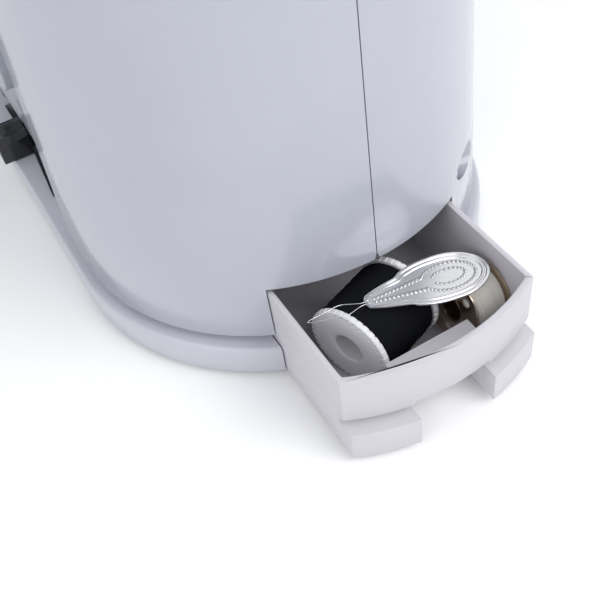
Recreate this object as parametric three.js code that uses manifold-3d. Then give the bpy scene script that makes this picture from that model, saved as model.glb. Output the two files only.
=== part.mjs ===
// Compact electric sewing machine with an accessory drawer in its right-hand end.
// Millimetres, +Z up, operator at -Y. Origin: middle of the footprint, under the rubber feet.

import * as THREE from 'three';
import { mergeVertices } from 'three/addons/utils/BufferGeometryUtils.js';
import Module from 'manifold-3d';

const wasm = await Module();
wasm.setup();

// ---- driving dimensions ------------------------------------------------------------------

const GAP = 0.3;                  // clearance kept between neighbouring pieces
const FAR = 400;                  // reach of a cutting tool that has to pass right through

const FOOT_RISE = 2;              // rubber feet lift the base off the table by this much
const END_X = 63.75;              // centre of the round right-hand end
const BASE_R = 62.5;              // radius of that end, half the depth of the base
const BASE_LEFT = -158.75;        // left end of the base
const BASE_CORNER = 14;
const SKIRT_TOP = FOOT_RISE + 9.8;
const FLOOR_T = 2.5;
const FLOOR_TOP = FOOT_RISE + FLOOR_T;

const LEDGE = 2.4;                // casing stands in from the base by this much
const LIP_Z = SKIRT_TOP + 2.6;    // lower lip of the casing, above the shadow groove
const SHELL_R = BASE_R - LEDGE;
const WALL = 2.2;
const DRAFT = 0.03;               // the casing leans in by this much per millimetre of height
const TOP_Z = 265;
const TOP_ROUND = 16;
const SEAM = 0.15;                // half of the joint line between front and rear casings

const BED_TOP = 80;
const ARM_UNDER = 188;
const HEAD_UNDER = 150;
const HEAD_RIGHT = -86;
const COLUMN_LEFT = -14;
const HARP_ROUND = 12;

const PANEL_Y = -54.5;            // recessed control face at the front of bed and column
const PANEL_RIGHT = 48.6;
const PANEL_TOP = 150;
const PANEL_ROUND = 30;

const DRAWER_OPEN = 32.5;         // the drawer stands open by this much at rest
const DRAWER_HALF = 27.75;
const DRAWER_WALL = 1.5;
const DRAWER_RIM = 30.2;
const DRAWER_BACK = -14;          // back of the drawer, from the centre of its front arc
const BAY_HALF = DRAWER_HALF + 0.35;
const BAY_TOP = 31.7;
const NOTCH_HALF = 10.9;          // finger notch under the front of the drawer
const NOTCH_TOP = 15.9;
const RECESS_TOP = 18.5;
const RECESS_BACK = 144.1;
const BEAD_Z = 15;
const BEAD_H = 2.4;

const NEEDLE_X = -108;
const NEEDLE_TRAVEL = 30;
const PRESSER_Y = 16;
const SHAFT_Z = 222;
const SHAFT_R = 4;
const LOWER_R = 3.5;
const SHAFT_FIT = 0.08;           // clearance of a shaft in the frame's bearings
const LOWER_Z = 52;
const BELT_X = 10;
const MOTOR = { x: 30, y: 20, z: 120, r: 18, length: 44 };
const MOTOR_BELT_X = 82;
const UPPER_WHEEL_R = 18;
const LOWER_WHEEL_R = 9;
const DRIVE_WHEEL_R = 24;
const MOTOR_WHEEL_R = 6;
const BELT_W = 5.2;
const BELT_T = 1.6;
const HOOK_X = -113;

const CLAMP_Z = 123;              // underside of the needle clamp with the needle up
const CLAMP_H = 8.7;
const CLAMP_R = 4.6;
const NEEDLE_TIP = 95;
const FOOT_FRONT = CLAMP_R + 0.5; // the presser foot's shank stands just behind the clamp
const BAR_R = 3.2;

const PLATE_T = 1.2;              // plates lie flush in the bed, each on a narrow ledge
const LEDGE_W = 1.5;
const NEEDLE_PLATE = { x0: -122, x1: -72, half: 24 };
const BOBBIN_COVER = { x0: -153.4, x1: -122.6, half: 20 };
const SLIDE_OPENING = { ...BOBBIN_COVER, x0: -FAR };

const DIAL = { x: -38, z: 48, r: 17, depth: 8, stem: 9 };
const TENSION = { x: -132, z: 222, r: 11, depth: 7, stem: 12 };
const REVERSE = { x: 22, z: 70, a: 24, b: 13 };
const LAMP = { x: -135, y: -22 };
const JACK = { x: 40, z: 40 };
const SCREWS = [[-140, 45], [110.5, 36], [-130, 200], [92, 190]];
const SCREW_WELL_R = 4.2;
const SPOOL_PIN = { x: 60, y: 14, r: 2.3, plateR: 8 };
const WINDER = { x: 96, y: -14, r: 3, plateR: 8.5 };

const SPOOL = { x: 132.4, y: -15.6, z: 16, r: 12, length: 23, flange: 1.8, bore: 4.2 };
const SPOOL_TURN = Math.atan2(0.345, 0.94);
const BOBBIN = { x: 135.8, y: 18.9, z: 15.1, r: 10.15, length: 11.7, flange: 0.6, core: 4.2 };
const BOBBIN_TURN = Math.atan2(0.106, 0.994);
const BOBBIN_TILT = -6.07;         // degrees; its near flange leans up on what lies below it
const THREADER_TIP = { x: 132.3, y: -9.7, z: 29.2 };
const THREADER_LENGTH = 34;
const THREADER_HEAD_R = 7.7;       // the head is an oval this wide and this long, from its middle
const THREADER_HEAD_LONG = 11.5;
const THREADER_T = 0.6;
const THREADER_TURN = -Math.atan2(4.2, 33.8);
const THREADER_TILT = -Math.atan2(3.2, THREADER_LENGTH);
const WIRE_R = 0.22;

// ---- finishes ----------------------------------------------------------------------------

const FINISH = {
  shell: [0xdfe0e8, 0.22, 0],
  base: [0xe0e0e7, 0.3, 0],
  drawer: [0xe2e2e9, 0.38, 0],
  grey: [0x9a9da6, 0.4, 0],
  black: [0x0b0c0e, 0.18, 0],
  rubber: [0x1c1c1e, 0.85, 0],
  steel: [0xb9bcc2, 0.28, 1],
  castAlloy: [0x8d9096, 0.5, 1],
  chrome: [0xd9dce0, 0.12, 1],
  brassy: [0xa79a78, 0.32, 1],
  tin: [0xc9ccd2, 0.3, 1],
  spoolWhite: [0xeeeef0, 0.35, 0],
  blackThread: [0x17181b, 0.9, 0],
  whiteThread: [0xe6e2da, 0.85, 0],
  clear: [0xd5d9dd, 0.12, 0],
  lens: [0xf4efdc, 0.2, 0],
};

// ---- solid helpers -----------------------------------------------------------------------

function toSolid(geometry) {
  let g = geometry.clone();
  g.deleteAttribute('normal');
  g.deleteAttribute('uv');
  g = mergeVertices(g, 1e-4);
  return new wasm.Manifold(new wasm.Mesh({
    numProp: 3,
    vertProperties: new Float32Array(g.attributes.position.array),
    triVerts: new Uint32Array(g.index.array),
  }));
}

function toGeometry(solid) {
  const mesh = solid.getMesh();
  const g = new THREE.BufferGeometry();
  g.setAttribute('position', new THREE.BufferAttribute(new Float32Array(mesh.vertProperties), 3));
  g.setIndex(new THREE.BufferAttribute(new Uint32Array(mesh.triVerts), 1));
  const flat = g.toNonIndexed();
  flat.computeVertexNormals();
  return flat;
}

const cut = (body, ...tools) => tools.reduce((a, b) => a.subtract(b), body);
const join = (body, ...others) => others.reduce((a, b) => a.add(b), body);

function box(x0, x1, y0, y1, z0, z1) {
  const g = new THREE.BoxGeometry(x1 - x0, y1 - y0, z1 - z0);
  g.translate((x0 + x1) / 2, (y0 + y1) / 2, (z0 + z1) / 2);
  return toSolid(g);
}

// Turns a geometry built along +Z so that it runs along the named axis.
const TURN = {
  X: (g) => g.rotateY(Math.PI / 2),
  Y: (g) => g.rotateX(-Math.PI / 2),
  Z: (g) => g,
};

// A round bar that starts at (x, y, z) and runs the given length along an axis.
function bar(axis, x, y, z, r, length, sides = 20) {
  const g = new THREE.CylinderGeometry(r, r, length, sides);
  g.rotateX(Math.PI / 2);
  g.translate(0, 0, length / 2);
  TURN[axis](g);
  g.translate(x, y, z);
  return toSolid(g);
}

// A turned piece: profile points are [radius, height], closed on the axis or on themselves.
function turned(axis, x, y, z, profile, sides = 28) {
  const points = profile.map(([r, h]) => new THREE.Vector2(r, h));
  const g = new THREE.LatheGeometry(points, sides);
  g.rotateX(Math.PI / 2);
  TURN[axis](g);
  g.translate(x, y, z);
  return toSolid(g);
}

// A sleeve or disc: a rectangle turned round the axis, or a plain disc when the bore is zero.
function ring(axis, x, y, z, bore, r, length, sides = 24) {
  const profile = bore > 0
    ? [[bore, 0], [r, 0], [r, length], [bore, length], [bore, 0]]
    : [[0, 0], [r, 0], [r, length], [0, length]];
  return turned(axis, x, y, z, profile, sides);
}

// A flat outline pushed up along +Z.
function prism(shape, z0, z1, options = {}) {
  const g = new THREE.ExtrudeGeometry(shape, {
    depth: z1 - z0, bevelEnabled: false, curveSegments: 8, ...options,
  });
  g.translate(0, 0, z0);
  return toSolid(g);
}

// A flat outline drawn in the XZ plane and pushed along +Y from y0 to y1.
function frontPrism(shape, y0, y1, options = {}) {
  const g = new THREE.ExtrudeGeometry(shape, {
    depth: y1 - y0, bevelEnabled: false, curveSegments: 8, ...options,
  });
  g.rotateX(Math.PI / 2);
  g.translate(0, y1, 0);
  return toSolid(g);
}

// A flat outline drawn in the YZ plane and pushed along +X from x0 to x1.
function sidePrism(shape, x0, x1, options = {}) {
  const g = new THREE.ExtrudeGeometry(shape, {
    depth: x1 - x0, bevelEnabled: false, curveSegments: 8, ...options,
  });
  g.rotateX(Math.PI / 2);
  g.rotateZ(Math.PI / 2);
  g.translate(x0, 0, 0);
  return toSolid(g);
}

function polygon(points) {
  return new THREE.Shape(points.map(([a, b]) => new THREE.Vector2(a, b)));
}

// Closed belt round two wheels that lie in one YZ plane.
function beltLoop(x0, width, a, b, thickness) {
  const outline = (extra) => {
    const dy = b.y - a.y;
    const dz = b.z - a.z;
    const lean = Math.atan2(dz, dy);
    const open = Math.acos((a.r - b.r) / Math.hypot(dy, dz));
    const s = new THREE.Shape();
    s.absarc(a.y, a.z, a.r + extra, lean + open, lean - open + 2 * Math.PI);
    s.absarc(b.y, b.z, b.r + extra, lean - open, lean + open);
    return s;
  };
  const loop = outline(GAP + thickness);
  loop.holes.push(outline(GAP));
  return sidePrism(loop, x0, x0 + width, { curveSegments: 12 });
}

// ---- the outline that base and casing share ---------------------------------------------

// Plan of the machine: a straight body, round at the right, set in by the given amount.
function planShape(inset) {
  const half = BASE_R - inset;
  const left = BASE_LEFT + inset;
  const corner = Math.max(BASE_CORNER - inset, 4);
  const s = new THREE.Shape();
  s.moveTo(left + corner, -half);
  s.lineTo(END_X, -half);
  const sweeps = 3;
  for (let i = 0; i < sweeps; i += 1) {
    const a = -Math.PI / 2 + (i / sweeps) * Math.PI;
    s.absarc(END_X, 0, half, a, a + Math.PI / sweeps);
  }
  s.lineTo(left + corner, half);
  s.absarc(left + corner, half - corner, corner, Math.PI / 2, Math.PI);
  s.lineTo(left, -half + corner);
  s.absarc(left + corner, -half + corner, corner, Math.PI, Math.PI * 1.5);
  return s;
}

// How far the casing's side stands in at a height: the lean, then the rounded top edge.
function insetAt(z, top, round) {
  const lean = LEDGE + DRAFT * (z - LIP_Z);
  const above = Math.max(0, z - (top - round));
  return lean + round - Math.sqrt(Math.max(0, round * round - above * above));
}

// The body of the casing as a stack of levels, each point moved in to its level's inset.
function castBody(z0, top, round, extraInset) {
  const roundSteps = 3;
  const levels = [z0, top - round];
  for (let i = 1; i <= roundSteps; i += 1) {
    levels.push(top - round + round * Math.sin((i / roundSteps) * Math.PI / 2));
  }
  const g = new THREE.ExtrudeGeometry(planShape(LEDGE + extraInset), {
    depth: 1, steps: levels.length - 1, bevelEnabled: false, curveSegments: 8,
  });
  const p = g.attributes.position;
  const half = BASE_R - LEDGE - extraInset;
  const middle = (BASE_LEFT + END_X) / 2;
  for (let i = 0; i < p.count; i += 1) {
    const z = levels[Math.round(p.getZ(i) * (levels.length - 1))];
    const inset = insetAt(z, top, round) - LEDGE;
    const scale = (half - inset) / half;
    const x = p.getX(i);
    const y = p.getY(i);
    const nx = x > END_X ? END_X + (x - END_X) * scale : x;
    p.setX(i, x < middle ? x + inset : nx);
    p.setY(i, y * scale);
    p.setZ(i, z);
  }
  return toSolid(g);
}

// The air under the head and arm: the harp space, open to the left below the head.
function harpAir(grow) {
  const r = HARP_ROUND - grow;
  const s = new THREE.Shape();
  s.moveTo(BASE_LEFT - FAR, BED_TOP - grow);
  s.lineTo(COLUMN_LEFT + grow - r, BED_TOP - grow);
  s.absarc(COLUMN_LEFT + grow - r, BED_TOP - grow + r, r, -Math.PI / 2, 0);
  s.lineTo(COLUMN_LEFT + grow, ARM_UNDER + grow - r);
  s.absarc(COLUMN_LEFT + grow - r, ARM_UNDER + grow - r, r, 0, Math.PI / 2);
  s.lineTo(HEAD_RIGHT - grow + r, ARM_UNDER + grow);
  s.absarc(HEAD_RIGHT - grow + r, ARM_UNDER + grow - r, r, Math.PI / 2, Math.PI);
  s.lineTo(HEAD_RIGHT - grow, HEAD_UNDER + grow);
  s.lineTo(BASE_LEFT - FAR, HEAD_UNDER + grow);
  return frontPrism(s, -FAR, FAR);
}

// The air in front of the recessed control face.
function panelAir(grow) {
  const right = PANEL_RIGHT + grow;
  const top = PANEL_TOP + grow;
  const r = PANEL_ROUND;
  const s = new THREE.Shape();
  s.moveTo(BASE_LEFT - FAR, -FAR);
  s.lineTo(right, -FAR);
  s.lineTo(right, top - r);
  s.absarc(right - r, top - r, r, 0, Math.PI / 2);
  s.lineTo(BASE_LEFT - FAR, top);
  return frontPrism(s, -FAR, PANEL_Y + grow);
}

function mesh(name, solid, finish) {
  const [color, roughness, metalness] = FINISH[finish];
  const m = new THREE.Mesh(
    toGeometry(solid),
    new THREE.MeshStandardMaterial({ color, roughness, metalness }),
  );
  m.name = name;
  return m;
}

// ---- base --------------------------------------------------------------------------------

const bayAir = () => box(END_X + DRAWER_BACK - 4, END_X + FAR, -BAY_HALF, BAY_HALF, -10, BAY_TOP);

function baseTray() {
  const inner = WALL + 0.5;
  const upstand = cut(prism(planShape(LEDGE + inner), SKIRT_TOP - 1, LIP_Z + 5), panelAir(inner));
  const hollow = cut(prism(planShape(LEDGE + inner + 2), FLOOR_TOP, FAR), panelAir(inner + 2));
  let tray = cut(join(prism(planShape(0), FOOT_RISE, SKIRT_TOP), upstand), hollow);
  const postTop = LOWER_Z - 18 - GAP;
  for (const x of [-42, 12]) {
    for (const y of [-9, 9]) {
      tray = join(tray, bar('Z', x, y, FLOOR_TOP - 1, 4, postTop - FLOOR_TOP + 1, 16));
    }
  }
  tray = cut(tray, bayAir());
  const x0 = END_X + DRAWER_BACK - 6;
  const x1 = END_X + 46;
  for (const side of [-1, 1]) {
    const [low, high] = [side * BAY_HALF, side * (BAY_HALF + 2.5)].sort((a, b) => a - b);
    const rail = box(x0, x1, low, high, FLOOR_TOP - 1, 27);
    const slot = box(
      END_X + DRAWER_BACK - 1, END_X + 45, low - 2, high + 2,
      BEAD_Z - 0.4, BEAD_Z + BEAD_H + 0.4,
    );
    tray = join(tray, cut(rail, slot));
  }
  const slide = sliderSlot(SKIRT_TOP - 2.2, LIP_Z + 12);
  const battery = box(-130.3, -49.7, -30.3, 30.3, -10, FLOOR_TOP + 5);
  return cut(tray, slide, battery);
}

// The opening that the speed slider runs in; it widens towards its right-hand end.
function sliderSlot(z0, z1) {
  const outline = polygon([
    [-32, PANEL_Y - 0.9], [0, PANEL_Y - 0.9], [25.3, -57.7],
    [26, PANEL_Y + 1], [26, PANEL_Y + 7], [-32, PANEL_Y + 7],
  ]);
  return prism(outline, z0, z1);
}

function batteryCover() {
  const plate = box(-130, -50, -30, 30, FOOT_RISE, FLOOR_TOP);
  return cut(plate, box(-94, -86, 22, 28, -10, FOOT_RISE + 1.2));
}

function rubberFeet() {
  return [[-138, -44], [-138, 44], [88, -42], [88, 42]].map(([x, y]) => turned('Z', x, y, 0, [
    [0, 0], [6.5, 0], [7.5, FOOT_RISE - GAP], [0, FOOT_RISE - GAP],
  ], 24));
}

// ---- casing ------------------------------------------------------------------------------

function plateOpening(plate, ledge, z0) {
  const grow = GAP - ledge;
  return box(plate.x0 - grow, plate.x1 + grow, -plate.half - grow, plate.half + grow, z0, BED_TOP + 10);
}

function casing() {
  const outside = cut(castBody(LIP_Z, TOP_Z, TOP_ROUND, 0), harpAir(0), panelAir(0));
  const inside = cut(
    castBody(LIP_Z - 6, TOP_Z - WALL, TOP_ROUND - WALL, WALL), harpAir(WALL), panelAir(WALL),
  );
  return cut(
    outside,
    inside,
    bayAir(),
    box(-124, -92, -12, 24, HEAD_UNDER - 10, HEAD_UNDER + WALL + 1),
    plateOpening(NEEDLE_PLATE, 0, BED_TOP - PLATE_T - GAP),
    plateOpening(NEEDLE_PLATE, LEDGE_W, BED_TOP - 10),
    plateOpening(SLIDE_OPENING, 0, BED_TOP - PLATE_T - GAP),
    plateOpening(SLIDE_OPENING, LEDGE_W, BED_TOP - 10),
    bar('X', 60, 0, SHAFT_Z, 7, 100),
    bar('Z', SPOOL_PIN.x, SPOOL_PIN.y, TOP_Z - 10, SPOOL_PIN.r + GAP, 30),
    bar('Z', WINDER.x, WINDER.y, TOP_Z - 20, WINDER.r + 2, 30),
  );
}

function frontShell(whole) {
  const half = cut(whole, box(-FAR, FAR, -SEAM, FAR, -FAR, FAR));
  return cut(
    half,
    box(NEEDLE_X - 3, NEEDLE_X + 3, -80, -40, 186, 238),
    sliderSlot(LIP_Z - 5, LIP_Z + 5.4),
    bar('Y', DIAL.x, -70, DIAL.z, 5, 30),
    bar('Y', TENSION.x, -70, TENSION.z, 5, 40),
    bar('Z', LAMP.x, LAMP.y, HEAD_UNDER - 5, 7.3, 12),
    frontPrism(reverseOutline(GAP), -70, -40),
  );
}

function rearShell(whole) {
  const half = cut(whole, box(-FAR, FAR, -FAR, SEAM, -FAR, FAR));
  const screwWells = SCREWS.map(([x, z]) => bar('Y', x, 22, z, SCREW_WELL_R, 60, 16));
  return cut(
    half,
    ...screwWells,
    box(NEEDLE_X - 4.5, NEEDLE_X + 4.5, 40, 80, 162, 208),
    bar('Y', JACK.x, 40, JACK.z, 6, 40),
    box(JACK.x - 26, JACK.x - 12, 40, 80, JACK.z - 6, JACK.z + 6),
  );
}

function reverseOutline(grow) {
  const s = new THREE.Shape();
  s.absellipse(REVERSE.x, REVERSE.z, REVERSE.a + grow, REVERSE.b + grow, 0, Math.PI * 2, false, 0);
  return s;
}

// Screws stand in wells of the rear casing, one for each corner.
function casingScrew([x, z]) {
  const half = SHELL_R - WALL - DRAFT * (z - LIP_Z);
  const reach = x > END_X ? Math.sqrt(half * half - (x - END_X) ** 2) : half;
  const y = reach - 4;
  return cut(bar('Y', x, y - 14, z, 1.6, 14, 12).add(ring('Y', x, y, z, 0, 3.6, 2.4, 16)),
    box(x - 2.4, x + 2.4, y + 1.6, y + 9, z - 0.4, z + 0.4));
}

// ---- bed ---------------------------------------------------------------------------------

function needlePlate() {
  const { x0, x1, half } = NEEDLE_PLATE;
  let plate = box(x0, x1, -half, half, BED_TOP - PLATE_T, BED_TOP);
  for (const x of [NEEDLE_X - 5, NEEDLE_X + 5]) {
    plate = cut(plate, box(x - 1.7, x + 1.7, -12, 14, 0, FAR));
  }
  return cut(plate, bar('Z', NEEDLE_X, 0, 0, 1.6, FAR, 16));
}

function bobbinCover() {
  const { x0, x1, half } = BOBBIN_COVER;
  const plate = box(x0, x1, -half, half, BED_TOP - PLATE_T, BED_TOP);
  return cut(plate, box(x0 + 3.4, x0 + 6.4, -8, 8, BED_TOP - 0.6, FAR));
}

function feedDog() {
  let dog = box(NEEDLE_X - 6.2, NEEDLE_X + 6.2, 6, 12, 70, 74);
  for (const x of [NEEDLE_X - 5, NEEDLE_X + 5]) {
    dog = join(dog, box(x - 1.2, x + 1.2, -10, 12, 72, BED_TOP - 1.4));
    for (let y = -9.5; y < 11; y += 2) {
      const tooth = polygon([[y, BED_TOP - 1.6], [y + 1.6, BED_TOP - 1.6], [y + 1.4, BED_TOP - 0.6]]);
      dog = join(dog, sidePrism(tooth, x - 1.2, x + 1.2));
    }
  }
  return dog;
}

// ---- hook, bobbin case and lower shaft ---------------------------------------------------

function lowerShaft() {
  return bar('X', HOOK_X + 3.3, 0, LOWER_Z, LOWER_R, BELT_X + 10 - HOOK_X - 3.3);
}

function hook() {
  const cup = turned('X', HOOK_X - 9, 0, LOWER_Z, [
    [15, 0], [17, 0], [17, 12], [0, 12], [0, 10], [15, 10], [15, 0],
  ], 40);
  const beak = box(HOOK_X - 5, HOOK_X - 2, -18, -12, LOWER_Z - 1, LOWER_Z + 24);
  return cut(cup, beak);
}

function bobbinCase() {
  return turned('X', HOOK_X - 12, 0, LOWER_Z, [
    [11.2, 0], [14.4, 0], [14.4, 12.4], [3, 12.4], [3, 11], [11.2, 11], [11.2, 0],
  ], 36);
}

function caseBobbin() {
  return turned('X', HOOK_X - 11.6, 0, LOWER_Z, [
    [3.2, 0], [10.6, 0], [10.6, 0.8], [4.4, 0.8], [4.4, 9.6],
    [10.6, 9.6], [10.6, 10.4], [3.2, 10.4], [3.2, 0],
  ], 32);
}

// ---- main shaft, belts and motor ---------------------------------------------------------

function mainShaft() {
  return bar('X', -93.5, 0, SHAFT_Z, SHAFT_R, 136.5 - -93.5);
}

// Wheels on the shaft are bored to clear it by the usual gap.
function wheel(x, width, r, z, shaftR, y = 0) {
  const flange = 1.2;
  return turned('X', x, y, z, [
    [shaftR + GAP, 0], [r + flange, 0], [r + flange, 1], [r, 1], [r, width - 1],
    [r + flange, width - 1], [r + flange, width], [shaftR + GAP, width], [shaftR + GAP, 0],
  ], 24);
}

function needleCrank() {
  const disc = ring('X', -99, 0, SHAFT_Z, 0, 18, 5.2);
  return join(disc, bar('X', -100.3, 0, SHAFT_Z + NEEDLE_TRAVEL / 2, 2.4, 3, 16));
}

function handwheel() {
  const x = 119;
  let wheelBody = turned('X', x, 0, SHAFT_Z, [
    [SHAFT_R + GAP, 0], [22, 0], [29, 3], [32, 7], [32, 15], [29.5, 17.5],
    [24, 18], [22.5, 16], [SHAFT_R + GAP, 16], [SHAFT_R + GAP, 0],
  ], 48);
  const grips = 12;
  for (let i = 0; i < grips; i += 1) {
    const a = (i / grips) * Math.PI * 2;
    wheelBody = cut(wheelBody, bar(
      'X', x - 1, 33.2 * Math.cos(a), SHAFT_Z + 33.2 * Math.sin(a), 2, 30, 10,
    ));
  }
  return wheelBody;
}

function clutchKnob() {
  return turned('X', 119 + 16 + GAP, 0, SHAFT_Z, [
    [SHAFT_R + GAP, 0], [14, 0], [14, 4.5], [12, 6], [0, 6], [0, 1.8], [SHAFT_R + GAP, 1.8],
    [SHAFT_R + GAP, 0],
  ], 32);
}

function motorCan() {
  const can = turned('X', MOTOR.x, MOTOR.y, MOTOR.z, [
    [0, 0], [MOTOR.r - 2, 0], [MOTOR.r, 2], [MOTOR.r, MOTOR.length - 2],
    [MOTOR.r - 2, MOTOR.length], [7, MOTOR.length], [7, MOTOR.length + 3], [0, MOTOR.length + 3],
  ], 36);
  return cut(can, bar('X', MOTOR.x + MOTOR.length - 8, MOTOR.y, MOTOR.z, 1.8 + GAP, 20, 16));
}

// The motor's own shaft, with the small belt wheel fixed on its end.
function motorPulley() {
  const start = MOTOR.x + MOTOR.length - 7;
  const shaft = bar('X', start, MOTOR.y, MOTOR.z, 1.8, MOTOR_BELT_X + 8 - start, 16);
  return join(shaft, wheel(MOTOR_BELT_X, 8, MOTOR_WHEEL_R, MOTOR.z, 1.2, MOTOR.y));
}

function motorBracket() {
  const x = MOTOR.x - 3.3;
  const plate = box(x, x + 3, MOTOR.y - 16, MOTOR.y + 16, MOTOR.z - 21.4, MOTOR.z + 18);
  return join(plate, box(x, x + 22, MOTOR.y - 16, MOTOR.y + 16, MOTOR.z - 21.4, MOTOR.z - 18.4));
}

// One cast frame carries both shafts: a beam in the arm, a beam in the bed and a post between.
function machineFrame() {
  const armBeam = box(-90, 72, -13, 13, 196, 200);
  const post = box(18, 22, -13, 13, 34, 200);
  const bedBeam = box(-90, 22, -13, 13, 34, 38);
  let frame = join(armBeam, post, bedBeam);
  for (const x of [-90, -20, 68]) {
    frame = join(frame, box(x, x + 4, -9, 9, 196, SHAFT_Z + 9));
  }
  for (const x of [-90, -20]) {
    frame = join(frame, box(x, x + 4, -9, 9, 34, LOWER_Z + 8));
  }
  return cut(
    frame,
    bar('X', -FAR, 0, SHAFT_Z, SHAFT_R + SHAFT_FIT, FAR * 2, 32),
    bar('X', -FAR, 0, LOWER_Z, LOWER_R + SHAFT_FIT, FAR * 2, 32),
  );
}

// ---- head --------------------------------------------------------------------------------

function needleBar() {
  return bar('Z', NEEDLE_X, 0, CLAMP_Z + CLAMP_H + GAP, BAR_R, 247 - CLAMP_Z - CLAMP_H);
}

function crankLink() {
  const top = SHAFT_Z + NEEDLE_TRAVEL / 2;
  const eye = ring('X', -103.2, 0, top, 3.4, 6, 2.6);
  const stem = box(-103.2, -100.6, -3, 3, 198, top - 4.4);
  const stud = box(NEEDLE_X + 3.5, -100.8, -3, 3, 198, 204);
  return join(eye, stem, stud);
}

function needleClamp() {
  const body = ring('Z', NEEDLE_X, 0, CLAMP_Z, 0, CLAMP_R, CLAMP_H, 24);
  return cut(body, bar('Z', NEEDLE_X, 0, CLAMP_Z - 10, 1.1, 16, 16));
}

function clampScrew() {
  return join(
    bar('X', NEEDLE_X + 4.9, 0, CLAMP_Z + 4, 1.2, 3, 12),
    bar('X', NEEDLE_X + 6.5, 0, CLAMP_Z + 4, 3, 5, 16),
  );
}

function needle() {
  const inClamp = CLAMP_Z + 5.5 - NEEDLE_TIP;
  return turned('Z', NEEDLE_X, 0, NEEDLE_TIP, [
    [0, 0], [0.45, 4], [0.45, 22], [0.8, 23], [0.8, inClamp], [0, inClamp],
  ], 12);
}

// A drawn tube, open at both ends.
function presserBar() {
  return ring('Z', NEEDLE_X, PRESSER_Y, 92, BAR_R - 1.2, BAR_R, 150);
}

function presserFoot() {
  const z = BED_TOP + 0.4;
  const sole = new THREE.Shape();
  sole.moveTo(NEEDLE_X - 9, 10);
  sole.lineTo(NEEDLE_X - 9, -12);
  sole.lineTo(NEEDLE_X - 3, -16);
  sole.lineTo(NEEDLE_X - 3, 3);
  sole.lineTo(NEEDLE_X + 3, 3);
  sole.lineTo(NEEDLE_X + 3, -16);
  sole.lineTo(NEEDLE_X + 9, -12);
  sole.lineTo(NEEDLE_X + 9, 10);
  const shank = box(NEEDLE_X - 4, NEEDLE_X + 4, FOOT_FRONT, 13, z, z + 8);
  const ankle = box(NEEDLE_X - 4.5, NEEDLE_X + 4.5, FOOT_FRONT, 21, z + 6, z + 11.2);
  return join(prism(sole, z, z + 1.8), shank, ankle);
}

function presserScrew() {
  return bar('X', NEEDLE_X + 4.8, PRESSER_Y, BED_TOP + 9, 3.6, 7, 16);
}

function presserSpring() {
  return ring('Z', NEEDLE_X, PRESSER_Y, 206, 3.5, 5, 34, 24);
}

function presserLifter() {
  const cam = bar('X', NEEDLE_X - 3.5, 30, 172, 5, 7, 20);
  const arm = box(NEEDLE_X - 2.5, NEEDLE_X + 2.5, 32, 64, 169.5, 173.5);
  const tab = box(NEEDLE_X - 4, NEEDLE_X + 4, 62, 68, 166.5, 173.5);
  const trunnions = bar('X', NEEDLE_X - 8, 30, 172, 1.6, 16, 16);
  return join(cam, arm, tab, trunnions);
}

function takeUpLever() {
  const hub = bar('X', NEEDLE_X - 1.5, -34, 205, 5, 3, 20);
  const arm = polygon([[-35, 209], [-62, 230], [-64, 226], [-38, 202]]);
  const eye = bar('X', NEEDLE_X - 1.5, -62.5, 227.6, 3.4, 3, 16);
  const trunnions = bar('X', NEEDLE_X - 6, -34, 205, 2, 12, 16);
  return cut(
    join(hub, sidePrism(arm, NEEDLE_X - 1.5, NEEDLE_X + 1.5), eye, trunnions),
    bar('X', NEEDLE_X - 5, -62.5, 227.6, 1.4, 10, 12),
  );
}

function headLamp() {
  return join(
    ring('Z', LAMP.x, LAMP.y, HEAD_UNDER - 1.5, 0, 7, 8),
    ring('Z', LAMP.x, LAMP.y, HEAD_UNDER + WALL + GAP, 0, 9, 4),
  );
}

// A dial on the front face: a knob with a finger bar across it and a stem through the casing.
function dial({ x, z, r, depth, stem }, y) {
  const knob = turned('Y', x, y - depth, z, [
    [0, 0], [r - 1.2, 0], [r, 1.2], [r, depth], [0, depth],
  ], 40);
  const scoop = 0.62 * r;
  return join(
    cut(
      knob,
      box(x - r, x - 0.16 * r, y - depth - 1, y - depth + 3, z - scoop, z + scoop),
      box(x + 0.16 * r, x + r, y - depth - 1, y - depth + 3, z - scoop, z + scoop),
    ),
    bar('Y', x, y - 1, z, 4.6, stem + 1, 20),
  );
}

function reverseButton() {
  const cap = frontPrism(reverseOutline(0), PANEL_Y - 5.5, PANEL_Y + 4);
  const stem = bar('Y', REVERSE.x, PANEL_Y + 3, REVERSE.z, 4, 12, 16);
  return join(cap, stem);
}

function speedSlider() {
  const knob = box(-9.75, 1.25, PANEL_Y - 11, PANEL_Y - 0.5, SKIRT_TOP + GAP, 22.5);
  const neck = box(-7.5, -1, PANEL_Y - 0.6, PANEL_Y + 4, SKIRT_TOP + 1.2, LIP_Z + 4.6);
  const carrier = box(-7.5, -1, PANEL_Y + 3.5, PANEL_Y + 6, SKIRT_TOP + 1.2, LIP_Z + 8);
  return join(knob, neck, carrier);
}

// ---- top and back ------------------------------------------------------------------------

function spoolPin() {
  return join(
    bar('Z', SPOOL_PIN.x, SPOOL_PIN.y, TOP_Z - 18, SPOOL_PIN.r, 40, 20),
    bar('Z', SPOOL_PIN.x, SPOOL_PIN.y, TOP_Z + 0.4, SPOOL_PIN.plateR, 1.8, 28),
  );
}

function winderSpindle() {
  return join(
    bar('Z', WINDER.x, WINDER.y, TOP_Z - 18, WINDER.r, 33, 20),
    bar('Z', WINDER.x, WINDER.y, TOP_Z + 0.4, WINDER.plateR, 2, 28),
  );
}

function threadGuide() {
  const foot = box(-104, -92, 6, 14, TOP_Z + GAP, TOP_Z + 2);
  const loop = ring('Y', -98, 9, TOP_Z + 5, 2.2, 3.8, 2);
  return join(foot, loop);
}

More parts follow.
